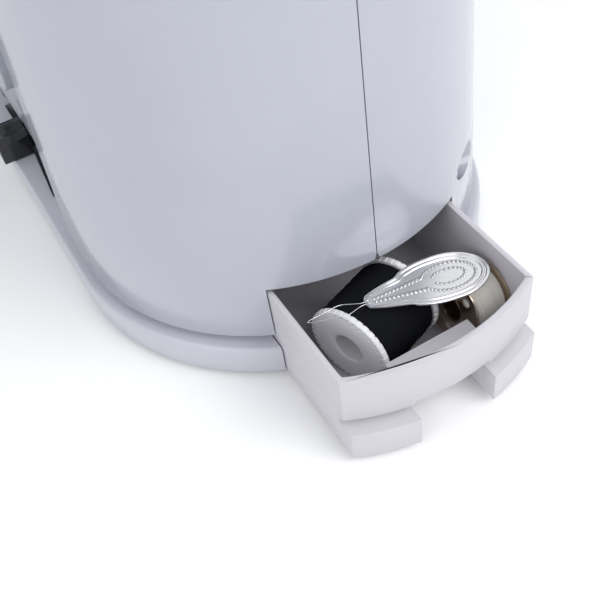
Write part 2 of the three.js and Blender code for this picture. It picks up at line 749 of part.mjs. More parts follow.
function powerJack() {
  const y = 50;
  const body = ring('Y', JACK.x, y - 6, JACK.z, 0, 5.6, 13.5, 24);
  return join(
    cut(body, bar('Y', JACK.x, y - 2, JACK.z, 3.2, 20, 16)),
    bar('Y', JACK.x, y - 3, JACK.z, 1, 9, 12),
  );
}

function pedalJack() {
  const x = JACK.x - 19;
  const body = box(x - 6.6, x + 6.6, 44, 57.5, JACK.z - 5.6, JACK.z + 5.6);
  return cut(body, bar('Y', x, 48, JACK.z, 1.8, 20, 16));
}

// ---- drawer and what lies in it ----------------------------------------------------------

// Plan of the drawer at one level: square behind, an arc concentric with the casing in front.
function drawerShape(half, back, arcR) {
  const centre = END_X + DRAWER_OPEN;
  const a = Math.asin(half / arcR);
  const s = new THREE.Shape();
  s.moveTo(centre + back, -half);
  s.lineTo(centre + arcR * Math.cos(a), -half);
  s.absarc(centre, 0, arcR, -a, a);
  s.lineTo(centre + back, half);
  return s;
}

function drawerBody() {
  const centre = END_X + DRAWER_OPEN;
  const half = DRAWER_HALF;
  const inHalf = half - DRAWER_WALL;
  const inBack = DRAWER_BACK + DRAWER_WALL;
  const bandR = SHELL_R - DRAFT * (DRAWER_RIM - LIP_Z) / 2;
  const bodyR = SHELL_R - 2.6;
  let d = join(
    prism(drawerShape(half, DRAWER_BACK, BASE_R), FOOT_RISE, SKIRT_TOP),
    prism(drawerShape(half, DRAWER_BACK, bodyR), SKIRT_TOP - 1, LIP_Z + 1.5),
    prism(drawerShape(half, DRAWER_BACK, bandR), LIP_Z + 0.5, DRAWER_RIM),
  );
  d = cut(
    d,
    prism(drawerShape(inHalf, inBack, bodyR - 1.7), FLOOR_TOP - 0.5, FAR),
    prism(drawerShape(inHalf, inBack, bandR - 1.8), LIP_Z + 2.4, FAR),
  );
  const pocket = box(
    RECESS_BACK, centre + bodyR - 1, -NOTCH_HALF - 1.4, NOTCH_HALF + 1.4,
    FOOT_RISE, RECESS_TOP + 1.5,
  );
  d = join(d, pocket);
  d = cut(
    d,
    box(RECESS_BACK + 1.5, FAR, -NOTCH_HALF, NOTCH_HALF, -10, NOTCH_TOP),
    box(RECESS_BACK + 1.5, centre + bodyR - 2, -NOTCH_HALF, NOTCH_HALF, -10, RECESS_TOP),
  );
  const beadX = centre + DRAWER_BACK + 1;
  for (const side of [-1, 1]) {
    const y0 = side * (half - 0.5);
    const y1 = side * (half + 1.8);
    const bead = box(beadX, beadX + 18, Math.min(y0, y1), Math.max(y0, y1), BEAD_Z, BEAD_Z + BEAD_H);
    d = join(d, bead);
  }
  return d;
}

// Built along +Z at the origin, then laid on its side, tilted and turned in the drawer.
function laid(solid, piece, turn, tilt = 0) {
  return solid.rotate([tilt - 90, 0, 0]).rotate([0, 0, turn * 180 / Math.PI])
    .translate([piece.x, piece.y, piece.z]);
}

function threadSpool() {
  const { r, length, flange, bore } = SPOOL;
  const barrel = 6.2;
  let reel = turned('Z', 0, 0, 0, [
    [bore, 0], [r, 0], [r, flange], [barrel, flange], [barrel, length - flange],
    [r, length - flange], [r, length], [bore, length], [bore, 0],
  ], 40);
  const teeth = 20;
  for (let i = 0; i < teeth; i += 1) {
    const a = (i / teeth) * Math.PI * 2;
    const notch = bar('Z', (r + 0.35) * Math.cos(a), (r + 0.35) * Math.sin(a), -1, 0.6, length + 2, 4);
    reel = cut(reel, notch);
  }
  return laid(reel, SPOOL, SPOOL_TURN);
}

function spoolThread() {
  const { length, flange, r } = SPOOL;
  const h0 = flange + GAP;
  const h1 = length - flange - GAP;
  const wound = turned('Z', 0, 0, 0, [
    [6.5, h0], [r - 1, h0], [r - 0.3, h0 + 3], [r - 0.3, h1 - 3], [r - 1, h1],
    [6.5, h1], [6.5, h0],
  ], 40);
  return laid(wound, SPOOL, SPOOL_TURN);
}

// The bobbin's flanges are cupped discs with round windows, joined by a hollow core.
function steelBobbin() {
  const { r, length, flange, core } = BOBBIN;
  const bore = core - 1;
  let reel = turned('Z', 0, 0, -length / 2, [
    [bore, 0], [r, 0], [r, flange], [core, flange], [core, length - flange],
    [r, length - flange], [r, length], [bore, length], [bore, 0],
  ], 36);
  const windows = 5;
  for (let i = 0; i < windows; i += 1) {
    const a = ((i + 0.3) / windows) * Math.PI * 2;
    reel = cut(reel, bar('Z', 7 * Math.cos(a), 7 * Math.sin(a), -length, 1.25, length * 2, 12));
  }
  return laid(reel, BOBBIN, BOBBIN_TURN, BOBBIN_TILT);
}

function bobbinThread() {
  const { r, length, flange, core } = BOBBIN;
  const half = length / 2 - flange - GAP;
  const wound = turned('Z', 0, 0, 0, [
    [core + GAP, -half], [r - 1.4, -half], [r - 1, -half + 1.5], [r - 1, half - 1.5],
    [r - 1.4, half], [core + GAP, half], [core + GAP, -half],
  ], 40);
  return laid(wound, BOBBIN, BOBBIN_TURN, BOBBIN_TILT);
}

// Needle threader: a stamped teardrop plate, drawn with its tip at the origin along +Y.
function placeThreader(solid) {
  return solid.rotate([THREADER_TILT * 180 / Math.PI, 0, THREADER_TURN * 180 / Math.PI])
    .translate([THREADER_TIP.x, THREADER_TIP.y, THREADER_TIP.z]);
}

function threaderPlate() {
  const s = new THREE.Shape();
  const r = THREADER_HEAD_R;
  const headY = THREADER_LENGTH - THREADER_HEAD_LONG;
  s.moveTo(1.8, 0.6);
  s.bezierCurveTo(3.2, 3, 3.8, 6.5, 4.7, 9.8);
  s.bezierCurveTo(4.9, 11, 5.9, 11.2, 6.2, 12.6);
  s.bezierCurveTo(7.4, 15.5, r, 18.5, r, headY);
  s.absellipse(0, headY, r, THREADER_HEAD_LONG, 0, Math.PI, false, 0);
  s.bezierCurveTo(-r, 18.5, -7.4, 15.5, -6.2, 12.6);
  s.bezierCurveTo(-5.9, 11.2, -4.9, 11, -4.7, 9.8);
  s.bezierCurveTo(-3.8, 6.5, -3.2, 3, -1.8, 0.6);
  s.quadraticCurveTo(0, -0.6, 1.8, 0.6);
  return placeThreader(prism(s, 0, THREADER_T));
}

// A loop of spring wire, bent to a point where it goes through the needle's eye.
function threaderWire() {
  const section = new THREE.Shape();
  section.absarc(0, 0, WIRE_R, 0, Math.PI * 2);
  const route = [[0.4, -0.9], [1.9, -6], [0, -15.2], [-1.9, -6], [-0.4, -0.9]];
  const path = new THREE.CatmullRomCurve3(
    route.map(([x, y]) => new THREE.Vector3(x, y, THREADER_T / 2)), false, 'catmullrom', 0.15,
  );
  const g = new THREE.ExtrudeGeometry(section, {
    extrudePath: path, steps: 28, curveSegments: 3, bevelEnabled: false,
  });
  return placeThreader(toSolid(g));
}

// ---- assembly ----------------------------------------------------------------------------

const whole = casing();
const pieces = [
  ['base_tray', baseTray(), 'base'],
  ['battery_cover', batteryCover(), 'base'],
  ...rubberFeet().map((foot, i) => [`base_foot_${i + 1}`, foot, 'rubber']),
  ['front_shell', frontShell(whole), 'shell'],
  ['rear_shell', rearShell(whole), 'shell'],
  ...SCREWS.map((at, i) => [`casing_screw_${i + 1}`, casingScrew(at), 'steel']),
  ['machine_frame', machineFrame(), 'castAlloy'],
  ['motor', motorCan(), 'steel'],
  ['motor_bracket', motorBracket(), 'castAlloy'],
  ['motor_belt', beltLoop(MOTOR_BELT_X + 1.4, BELT_W,
    { y: 0, z: SHAFT_Z, r: DRIVE_WHEEL_R }, { y: MOTOR.y, z: MOTOR.z, r: MOTOR_WHEEL_R }, BELT_T),
  'rubber'],
  ['timing_belt', beltLoop(BELT_X - 2.6, BELT_W,
    { y: 0, z: SHAFT_Z, r: UPPER_WHEEL_R }, { y: 0, z: LOWER_Z, r: LOWER_WHEEL_R }, BELT_T),
  'rubber'],
  ['motor_pulley', motorPulley(), 'steel'],
  ['main_shaft', mainShaft(), 'steel'],
  ['drive_wheel', wheel(MOTOR_BELT_X, 8, DRIVE_WHEEL_R, SHAFT_Z, SHAFT_R), 'grey'],
  ['upper_belt_wheel', wheel(BELT_X - 4, 8, UPPER_WHEEL_R, SHAFT_Z, SHAFT_R), 'grey'],
  ['needle_crank', needleCrank(), 'steel'],
  ['handwheel', handwheel(), 'shell'],
  ['clutch_knob', clutchKnob(), 'grey'],
  ['lower_shaft', lowerShaft(), 'steel'],
  ['lower_belt_wheel', wheel(BELT_X - 4, 8, LOWER_WHEEL_R, LOWER_Z, LOWER_R), 'grey'],
  ['hook', hook(), 'chrome'],
  ['bobbin_case', bobbinCase(), 'steel'],
  ['case_bobbin', caseBobbin(), 'clear'],
  ['feed_dog', feedDog(), 'steel'],
  ['needle_plate', needlePlate(), 'chrome'],
  ['bobbin_cover', bobbinCover(), 'clear'],
  ['needle_bar', needleBar(), 'steel'],
  ['crank_link', crankLink(), 'castAlloy'],
  ['needle_clamp', needleClamp(), 'steel'],
  ['clamp_screw', clampScrew(), 'chrome'],
  ['needle', needle(), 'chrome'],
  ['presser_bar', presserBar(), 'steel'],
  ['presser_foot', presserFoot(), 'chrome'],
  ['presser_screw', presserScrew(), 'chrome'],
  ['presser_spring', presserSpring(), 'steel'],
  ['presser_lifter', presserLifter(), 'steel'],
  ['take_up_lever', takeUpLever(), 'chrome'],
  ['head_lamp', headLamp(), 'lens'],
  ['stitch_dial', dial(DIAL, PANEL_Y - 0.4), 'grey'],
  ['tension_dial', dial(TENSION, -54.6), 'grey'],
  ['reverse_button', reverseButton(), 'grey'],
  ['speed_slider', speedSlider(), 'black'],
  ['spool_pin', spoolPin(), 'grey'],
  ['winder_spindle', winderSpindle(), 'grey'],
  ['thread_guide', threadGuide(), 'chrome'],
  ['power_jack', powerJack(), 'black'],
  ['pedal_jack', pedalJack(), 'black'],
  ['drawer', drawerBody(), 'drawer'],
  ['thread_spool', threadSpool(), 'spoolWhite'],
  ['spool_thread', spoolThread(), 'blackThread'],
  ['steel_bobbin', steelBobbin(), 'brassy'],
  ['bobbin_thread', bobbinThread(), 'whiteThread'],
  ['threader_plate', threaderPlate(), 'tin'],
  ['threader_wire', threaderWire(), 'chrome'],
];

const machine = new THREE.Group();
for (const [name, solid, finish] of pieces) {
  machine.add(mesh(name, solid, finish));
}

export default machine;
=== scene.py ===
"""Looks of a compact electric sewing machine with its accessory drawer pulled open.

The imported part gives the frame: every body, joint and size. This script gives each visible
piece its finished shape and its finish, and sets up the studio. All sizes are in millimetres
until a mesh is made; meshes are in metres, in the part's own frame.
"""

from __future__ import annotations

import logging
import math
from dataclasses import dataclass, field
from enum import Enum
from typing import Callable, Iterable, Optional, Sequence

import bmesh
import bpy
from mathutils import Matrix, Vector


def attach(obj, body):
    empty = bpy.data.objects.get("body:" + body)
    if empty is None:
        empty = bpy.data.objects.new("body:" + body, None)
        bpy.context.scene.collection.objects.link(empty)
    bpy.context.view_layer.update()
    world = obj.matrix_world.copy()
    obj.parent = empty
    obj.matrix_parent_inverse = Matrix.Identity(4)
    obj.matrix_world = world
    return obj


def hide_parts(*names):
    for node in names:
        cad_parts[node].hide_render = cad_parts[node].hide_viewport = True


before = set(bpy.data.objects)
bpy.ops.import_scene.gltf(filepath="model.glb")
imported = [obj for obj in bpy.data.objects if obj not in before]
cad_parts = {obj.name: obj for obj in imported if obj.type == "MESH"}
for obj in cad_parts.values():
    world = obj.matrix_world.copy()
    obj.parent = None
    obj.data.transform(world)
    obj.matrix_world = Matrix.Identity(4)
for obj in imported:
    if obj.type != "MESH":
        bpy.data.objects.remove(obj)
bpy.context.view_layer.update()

LOG = logging.getLogger("sewing_machine")
MM = 0.001
FIBRE_SPECULAR = 0.12
LEVEL = 0.99
FAR = 400.0
Point2 = tuple[float, float]
Point3 = tuple[float, float, float]
Colour = tuple[float, float, float]

# Sizes shared by several sub-assemblies.
END_X = 63.75
BASE_HALF = 62.5
BASE_LEFT = -158.75
BASE_CORNER = 14.0
FOOT_RISE = 2.0
FLOOR_TOP = 4.5
SKIRT_TOP = 11.8
LEDGE = 2.4
LIP_Z = 14.4
SHELL_R = BASE_HALF - LEDGE
WALL = 2.2
LEAN = 0.03
TOP_Z = 265.0
TOP_ROUND = 16.0
BED_TOP = 80.0
PANEL_Y = -54.5
PANEL_RIGHT = 48.6
BAY_HALF = 28.1
BAY_TOP = 31.7
BAY_BACK = 45.75
NEEDLE_X = -108.0
SHAFT_Z = 222.0


class Axis(Enum):
    """Direction that a bar, a turned piece or a prism runs in."""

    X = "x"
    Y = "y"
    Z = "z"


class Texture(Enum):
    """Surface character of a finish."""

    MOULDED = "moulded"
    BRUSHED = "brushed"
    CAST = "cast"
    FIBRE = "fibre"


# ---- mesh making ---------------------------------------------------------------------------


def aim(axis: Axis, x: float, y: float, z: float) -> Matrix:
    """Matrix that lays a shape built along +Z along an axis.

    Args:
        axis: the direction that the shape's own +Z takes.
        x, y, z: place of the shape's origin.

    Returns:
        The placing matrix, in millimetres.
    """
    turn = {
        Axis.X: Matrix.Rotation(math.pi / 2, 4, "Y"),
        Axis.Y: Matrix.Rotation(-math.pi / 2, 4, "X"),
        Axis.Z: Matrix.Identity(4),
    }[axis]
    return Matrix.Translation((x, y, z)) @ turn


def solid(name: str, points: Sequence[Sequence[float]], faces: Sequence[Sequence[int]],
          place: Optional[Matrix] = None) -> bpy.types.Object:
    """Makes an object from points in millimetres.

    Args:
        name: the object's name.
        points: the corners, in millimetres.
        faces: corner numbers of each face.
        place: an optional matrix that moves the points first.

    Returns:
        The new object, in metres, at the origin.
    """
    mesh = bpy.data.meshes.new(name)
    moved = [place @ Vector(p) for p in points] if place else [Vector(p) for p in points]
    mesh.from_pydata([v * MM for v in moved], [], [list(f) for f in faces])
    work = bmesh.new()
    work.from_mesh(mesh)
    bmesh.ops.recalc_face_normals(work, faces=work.faces)
    work.to_mesh(mesh)
    work.free()
    thing = bpy.data.objects.new(name, mesh)
    bpy.context.scene.collection.objects.link(thing)
    return thing


def stack(name: str, rings: Sequence[Sequence[Sequence[float]]],
          place: Optional[Matrix] = None) -> bpy.types.Object:
    """Skins a pile of rings that all have the same number of points.

    Args:
        name: the object's name.
        rings: the rings, each a list of points.
        place: an optional placing matrix.

    Returns:
        A closed solid.
    """
    count = len(rings[0])
    points = [p for ring in rings for p in ring]
    faces = []
    total = len(rings)
    for i in range(total - 1):
        a, b = i * count, (i + 1) * count
        faces += [(a + j, a + (j + 1) % count, b + (j + 1) % count, b + j) for j in range(count)]
    faces.append(tuple(range(count)))
    faces.append(tuple(range((total - 1) * count, total * count)))
    return solid(name, points, faces, place)


def lathe(name: str, profile: Sequence[Point2], sides: int = 64,
          place: Optional[Matrix] = None,
          ripple: Optional[Callable[[float, int], float]] = None) -> bpy.types.Object:
    """Turns a profile round +Z.

    Args:
        name: the object's name.
        profile: (radius, height) points; it closes on itself, or on the axis at both ends.
        sides: how many steps go round.
        place: an optional placing matrix.
        ripple: gives the radius to add at an angle, for profile point number n.

    Returns:
        A closed turned solid.
    """
    closed = profile[0] == profile[-1]
    rows = list(profile[:-1] if closed else profile)
    points: list[Point3] = []
    index: list[list[int]] = []
    for n, (radius, height) in enumerate(rows):
        if radius < 1e-6:
            index.append([len(points)] * sides)
            points.append((0.0, 0.0, height))
            continue
        row = []
        for k in range(sides):
            angle = 2 * math.pi * k / sides
            r = radius + (ripple(angle, n) if ripple else 0.0)
            row.append(len(points))
            points.append((r * math.cos(angle), r * math.sin(angle), height))
        index.append(row)
    faces = []
    for i in range(len(rows) if closed else len(rows) - 1):
        a, b = index[i], index[(i + 1) % len(rows)]
        for k in range(sides):
            m = (k + 1) % sides
            corners = list(dict.fromkeys((a[k], a[m], b[m], b[k])))
            if len(corners) > 2:
                faces.append(tuple(corners))
    return solid(name, points, faces, place)


def tube(name: str, path: Sequence[Sequence[float]], radius: float, sides: int = 8,
         place: Optional[Matrix] = None) -> bpy.types.Object:
    """Runs a round section along a path.

    Args:
        name: the object's name.
        path: the points that the middle of the tube follows.
        radius: of the section.
        sides: of the section.
        place: an optional placing matrix.

    Returns:
        A closed tube with flat ends.
    """
    spots = [Vector(p) for p in path]
    up = Vector((0.0, 0.0, 1.0))
    rings = []
    for i, spot in enumerate(spots):
        along = (spots[min(i + 1, len(spots) - 1)] - spots[max(i - 1, 0)]).normalized()
        if abs(along.dot(up)) > 0.95:
            up = Vector((1.0, 0.0, 0.0))
        side = along.cross(up).normalized()
        up = side.cross(along).normalized()
        rings.append([
            spot + radius * (math.cos(2 * math.pi * k / sides) * side
                             + math.sin(2 * math.pi * k / sides) * up)
            for k in range(sides)
        ])
    return stack(name, rings, place)


def arc(cx: float, cy: float, radius: float, start: float, end: float, steps: int) -> list[Point2]:
    """Points on an arc, both ends included.

    Args:
        cx, cy: centre.
        radius: of the arc.
        start, end: first and last angle, in degrees.
        steps: how many straight pieces.

    Returns:
        The points in order.
    """
    spots = []
    for i in range(steps + 1):
        angle = math.radians(start + (end - start) * i / steps)
        spots.append((cx + radius * math.cos(angle), cy + radius * math.sin(angle)))
    return spots


def prism(name: str, outline: Sequence[Point2], low: float, high: float,
          axis: Axis = Axis.Z) -> bpy.types.Object:
    """Pushes an outline along an axis.

    Args:
        name: the object's name.
        outline: points in the plane across the axis: XY for Z, XZ for Y and YZ for X.
        low: where it starts along the axis.
        high: where it ends.
        axis: the direction of the push.

    Returns:
        A closed prism.
    """
    lay = {
        Axis.Z: lambda a, b, t: (a, b, t),
        Axis.Y: lambda a, b, t: (a, t, b),
        Axis.X: lambda a, b, t: (t, a, b),
    }[axis]
    return stack(name, [[lay(a, b, t) for a, b in outline] for t in (low, high)])


def block(name: str, x0: float, x1: float, y0: float, y1: float, z0: float,
          z1: float) -> bpy.types.Object:
    """A cutter or a raw block between two corners.

    Args:
        name: the object's name.
        x0, x1, y0, y1, z0, z1: the low and high limit along each axis.

    Returns:
        The block.
    """
    return prism(name, [(x0, y0), (x1, y0), (x1, y1), (x0, y1)], z0, z1)


def rod(name: str, axis: Axis, x: float, y: float, z: float, radius: float, length: float,
        sides: int = 40) -> bpy.types.Object:
    """A round bar from a point along an axis.

    Args:
        name: the object's name.
        axis: its direction.
        x, y, z: start point.
        radius: of the bar.
        length: of the bar.
        sides: of the bar.

    Returns:
        The bar.
    """
    profile = [(0.0, 0.0), (radius, 0.0), (radius, length), (0.0, length)]
    return lathe(name, profile, sides, aim(axis, x, y, z))


def settle(thing: bpy.types.Object) -> bpy.types.Object:
    """Applies every modifier to the mesh.

    Args:
        thing: the object to settle.

    Returns:
        The same object, with a plain mesh.
    """
    bpy.context.view_layer.update()
    shaped = bpy.data.meshes.new_from_object(
        thing.evaluated_get(bpy.context.evaluated_depsgraph_get()))
    thing.modifiers.clear()
    old = thing.data
    thing.data = shaped
    bpy.data.meshes.remove(old)
    return thing


def combine(thing: bpy.types.Object, others: Iterable[bpy.types.Object],
            how: str) -> bpy.types.Object:
    """Adds solids to a solid, or takes them from it.

    Args:
        thing: the solid that is worked on.
        others: the solids to add or take away; they are used up.
        how: the modifier's operation, DIFFERENCE or UNION.

    Returns:
        The same object with its new mesh.
    """
    for other in others:
        step = thing.modifiers.new("step", "BOOLEAN")
        step.operation = how
        step.solver = "MANIFOLD"
        step.object = other
        settle(thing)
        spent = other.data
        bpy.data.objects.remove(other)
        bpy.data.meshes.remove(spent)
    return thing


def carve(thing: bpy.types.Object, *others: bpy.types.Object) -> bpy.types.Object:
    """Takes solids away from a solid and returns it."""
    return combine(thing, others, "DIFFERENCE")


def fuse(thing: bpy.types.Object, *others: bpy.types.Object) -> bpy.types.Object:
    """Adds solids to a solid and returns it."""
    return combine(thing, others, "UNION")


def soften(thing: bpy.types.Object, width: float, segments: int = 2,
           angle: float = 35.0, clamp: bool = True) -> bpy.types.Object:
    """Rounds the sharp edges and keeps flat faces flat.

    Args:
        thing: the object.
        width: of the rounding, in millimetres.
        segments: steps across the rounding.
        angle: edges sharper than this, in degrees, are rounded.
        clamp: stops roundings from running into each other.

    Returns:
        The same object.
    """
    edge = thing.modifiers.new("edge", "BEVEL")
    edge.width = width * MM
    edge.segments = segments
    edge.limit_method = "ANGLE"
    edge.angle_limit = math.radians(angle)
    edge.use_clamp_overlap = clamp
    edge.miter_outer = "MITER_ARC"
    return settle(thing)


def shade(thing: bpy.types.Object, angle: float = 32.0) -> bpy.types.Object:
    """Shades smoothly except across edges sharper than the angle, and returns the object."""
    thing.data.shade_smooth()
    thing.data.set_sharp_from_angle(angle=math.radians(angle))
    return thing


# ---- finishes ------------------------------------------------------------------------------


@dataclass(frozen=True)
class Finish:
    """A moulded, metal, thread or rubber finish.

    Colours are linear. Grain is given in marks per metre, relief in millimetres.
    """

    name: str
    colour: Colour
    shade: Colour
    roughness: tuple[float, float]
    texture: Texture = Texture.MOULDED
    metallic: float = 0.0
    coat: float = 0.0
    grain: float = 1800.0
    relief: float = 0.01
    sheen: float = 0.0
    transmission: float = 0.0
    stretch: Point3 = (1.0, 1.0, 1.0)
    subsurface: float = 0.0

    def material(self) -> bpy.types.Material:
        """Builds the finish's material, or returns the one made before."""
        title = "finish_" + self.name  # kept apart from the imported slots' own materials
        known = bpy.data.materials.get(title)
        if known:
            return known
        made = bpy.data.materials.new(title)
        made.use_nodes = True
        nodes, links = made.node_tree.nodes, made.node_tree.links
        shader = nodes["Principled BSDF"]
        self._set_constants(shader)
        spot = nodes.new("ShaderNodeTexCoord")
        lie = nodes.new("ShaderNodeMapping")
        lie.inputs["Scale"].default_value = self.stretch
        links.new(spot.outputs["Object"], lie.inputs["Vector"])
        broad = self._noise(nodes, 42.0, 3.0)
        links.new(spot.outputs["Object"], broad.inputs["Vector"])
        fine = self._noise(nodes, self.grain, 4.0)
        links.new(lie.outputs["Vector"], fine.inputs["Vector"])
        tint = nodes.new("ShaderNodeValToRGB")
        tint.color_ramp.elements[0].position = 0.3
        tint.color_ramp.elements[0].color = (*self.shade, 1.0)
        tint.color_ramp.elements[1].position = 0.7
        tint.color_ramp.elements[1].color = (*self.colour, 1.0)
        chosen = fine if self.texture in (Texture.FIBRE, Texture.CAST) else broad
        links.new(chosen.outputs["Fac"], tint.inputs["Fac"])
        links.new(tint.outputs["Color"], shader.inputs["Base Color"])
        gloss = nodes.new("ShaderNodeMapRange")
        gloss.inputs["From Min"].default_value = 0.3
        gloss.inputs["From Max"].default_value = 0.7
        gloss.inputs["To Min"].default_value = self.roughness[0]
        gloss.inputs["To Max"].default_value = self.roughness[1]
        other = fine if self.texture is Texture.BRUSHED else broad
        links.new(other.outputs["Fac"], gloss.inputs["Value"])
        links.new(gloss.outputs["Result"], shader.inputs["Roughness"])
        bump = nodes.new("ShaderNodeBump")
        bump.inputs["Strength"].default_value = 0.6
        bump.inputs["Distance"].default_value = self.relief * MM
        links.new(fine.outputs["Fac"], bump.inputs["Height"])
        links.new(bump.outputs["Normal"], shader.inputs["Normal"])
        return made

    def _set_constants(self, shader: bpy.types.Node) -> None:
        """Sets what is the same all over the surface.

        Args:
            shader: the material's main shader.
        """
        values = {
            "Metallic": self.metallic,
            "Coat Weight": self.coat,
            "Coat Roughness": 0.08,
            "Sheen Weight": self.sheen,
            "Transmission Weight": self.transmission,
            "Subsurface Weight": self.subsurface,
            "IOR": 1.5,
        }
        if self.texture is Texture.FIBRE:
            values["Specular IOR Level"] = FIBRE_SPECULAR
        for socket, value in values.items():
            shader.inputs[socket].default_value = value
        shader.inputs["Subsurface Scale"].default_value = 0.002
        shader.inputs["Subsurface Radius"].default_value = (1.0, 0.9, 0.8)

    @staticmethod
    def _noise(nodes: bpy.types.Nodes, scale: float, detail: float) -> bpy.types.Node:
        """A noise node of the given scale and detail."""
        made = nodes.new("ShaderNodeTexNoise")
        made.inputs["Scale"].default_value = scale
        made.inputs["Detail"].default_value = detail
        return made


SHELL = Finish("glossy_white_casing", (0.45, 0.46, 0.525), (0.435, 0.445, 0.51), (0.16, 0.22),
               coat=0.35, grain=900.0, relief=0.006)
BASE = Finish("satin_white_base", (0.55, 0.55, 0.605), (0.53, 0.53, 0.59), (0.3, 0.38),
              grain=1500.0, relief=0.012)
DRAWER = Finish("satin_white_drawer", (0.575, 0.56, 0.595), (0.555, 0.54, 0.575), (0.34, 0.44),
                grain=1500.0, relief=0.014)
GREY = Finish("satin_grey_plastic", (0.36, 0.38, 0.42), (0.33, 0.35, 0.39), (0.3, 0.4),
              grain=2200.0, relief=0.012)
BLACK = Finish("glossy_black_plastic", (0.012, 0.013, 0.016), (0.009, 0.01, 0.012), (0.12, 0.2),
               coat=0.3, grain=1600.0, relief=0.008)
RUBBER = Finish("black_rubber", (0.03, 0.03, 0.032), (0.02, 0.02, 0.022), (0.75, 0.9),
                Texture.CAST, grain=2600.0, relief=0.03)
STEEL = Finish("turned_steel", (0.56, 0.58, 0.61), (0.48, 0.5, 0.53), (0.22, 0.36),
               Texture.BRUSHED, metallic=1.0, grain=900.0, relief=0.008, stretch=(0.2, 3.0, 3.0))
ALLOY = Finish("cast_alloy", (0.40, 0.41, 0.43), (0.31, 0.32, 0.34), (0.45, 0.6),
               Texture.CAST, metallic=1.0, grain=1400.0, relief=0.04)
CHROME = Finish("bright_plate", (0.74, 0.75, 0.77), (0.66, 0.67, 0.69), (0.08, 0.18),
                Texture.BRUSHED, metallic=1.0, grain=500.0, relief=0.004)
CLEAR = Finish("clear_plastic", (0.86, 0.88, 0.9), (0.82, 0.84, 0.87), (0.05, 0.12),
               transmission=0.85, grain=900.0, relief=0.004)
LENS = Finish("milky_lens", (0.9, 0.88, 0.8), (0.85, 0.83, 0.74), (0.15, 0.25),
              grain=1200.0, relief=0.01, subsurface=0.3)
SPOOL_WHITE = Finish("satin_white_reel", (0.80, 0.80, 0.82), (0.77, 0.77, 0.79), (0.32, 0.42),
                     grain=1800.0, relief=0.012)
BLACK_THREAD = Finish("black_thread", (0.012, 0.013, 0.017), (0.006, 0.0065, 0.0085),
                      (0.8, 0.9), Texture.FIBRE, grain=5200.0, relief=0.05)
PALE_THREAD = Finish("pale_thread", (0.76, 0.74, 0.69), (0.64, 0.61, 0.56), (0.5, 0.65),
                     Texture.FIBRE, grain=5200.0, relief=0.05, sheen=0.3)
WARM_PLATE = Finish("warm_plated_steel", (0.60, 0.49, 0.39), (0.54, 0.435, 0.345), (0.2, 0.28),
                    metallic=1.0, grain=700.0, relief=0.004)
TIN = Finish("stamped_tin", (0.62, 0.62, 0.63), (0.56, 0.56, 0.57), (0.24, 0.32),
             metallic=1.0, grain=700.0, relief=0.004)


def dress(thing: bpy.types.Object, finish: Finish, body: str, stands_for: Sequence[str] = ()) -> bpy.types.Object:
    """Gives a new piece its finish and its place in the frame.

    Args:
        thing: the piece.
        finish: what it is finished in.
        body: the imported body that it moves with.
        stands_for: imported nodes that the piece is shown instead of.

    Returns:
        The same piece.
    """
    thing.data.materials.clear()
    thing.data.materials.append(finish.material())
    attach(thing, body)
    if stands_for:
        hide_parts(*stands_for)
    LOG.info("%s: %d faces, rides on %s", thing.name, len(thing.data.polygons), body)
    return thing


def dress_node(name: str, finish: Finish, edge: float = 0.25) -> None:
    """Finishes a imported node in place: rounded edges, smooth shading and a material.

    Args:
        name: the node's name.
        finish: what it is finished in.
        edge: width of its edge rounding, in millimetres.
    """
    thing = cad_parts[name]
    mesh = thing.data
    if "custom_normal" in mesh.attributes:
        mesh.attributes.remove(mesh.attributes["custom_normal"])
    mesh.shade_smooth()
    mesh.materials.clear()
    mesh.materials.append(finish.material())
    weld = thing.modifiers.new("weld", "WELD")
    weld.merge_threshold = 0.005 * MM
    bevel = thing.modifiers.new("edge", "BEVEL")
    bevel.width = edge * MM
    bevel.segments = 2
    bevel.limit_method = "ANGLE"
    bevel.angle_limit = math.radians(38.0)
    normals = thing.modifiers.new("normals", "WEIGHTED_NORMAL")
    normals.weight = 60
    LOG.info("%s: packed node in %s", name, finish.name)


# ---- shared outlines -----------------------------------------------------------------------


def plan(inset: float, end_steps: int = 72, corner_steps: int = 10) -> list[Point2]:
    """Plan of the machine, round at the right, set in by an amount.

    Args:
        inset: how far the outline stands in.
        end_steps: steps round the right-hand end.
        corner_steps: steps round each left-hand corner.

    Returns:
        The outline, anticlockwise.
    """
    half = BASE_HALF - inset
    left = BASE_LEFT + inset
    corner = max(BASE_CORNER - inset, 4.0)
    spots = arc(END_X, 0.0, half, -90, 90, end_steps)
    spots += arc(left + corner, half - corner, corner, 90, 180, corner_steps)
    spots += arc(left + corner, -half + corner, corner, 180, 270, corner_steps)
    return spots


def plan_at(z: float, inset: float) -> list[Point3]:
    """The plan at a height, as a ring of points."""
    return [(x, y, z) for x, y in plan(inset)]


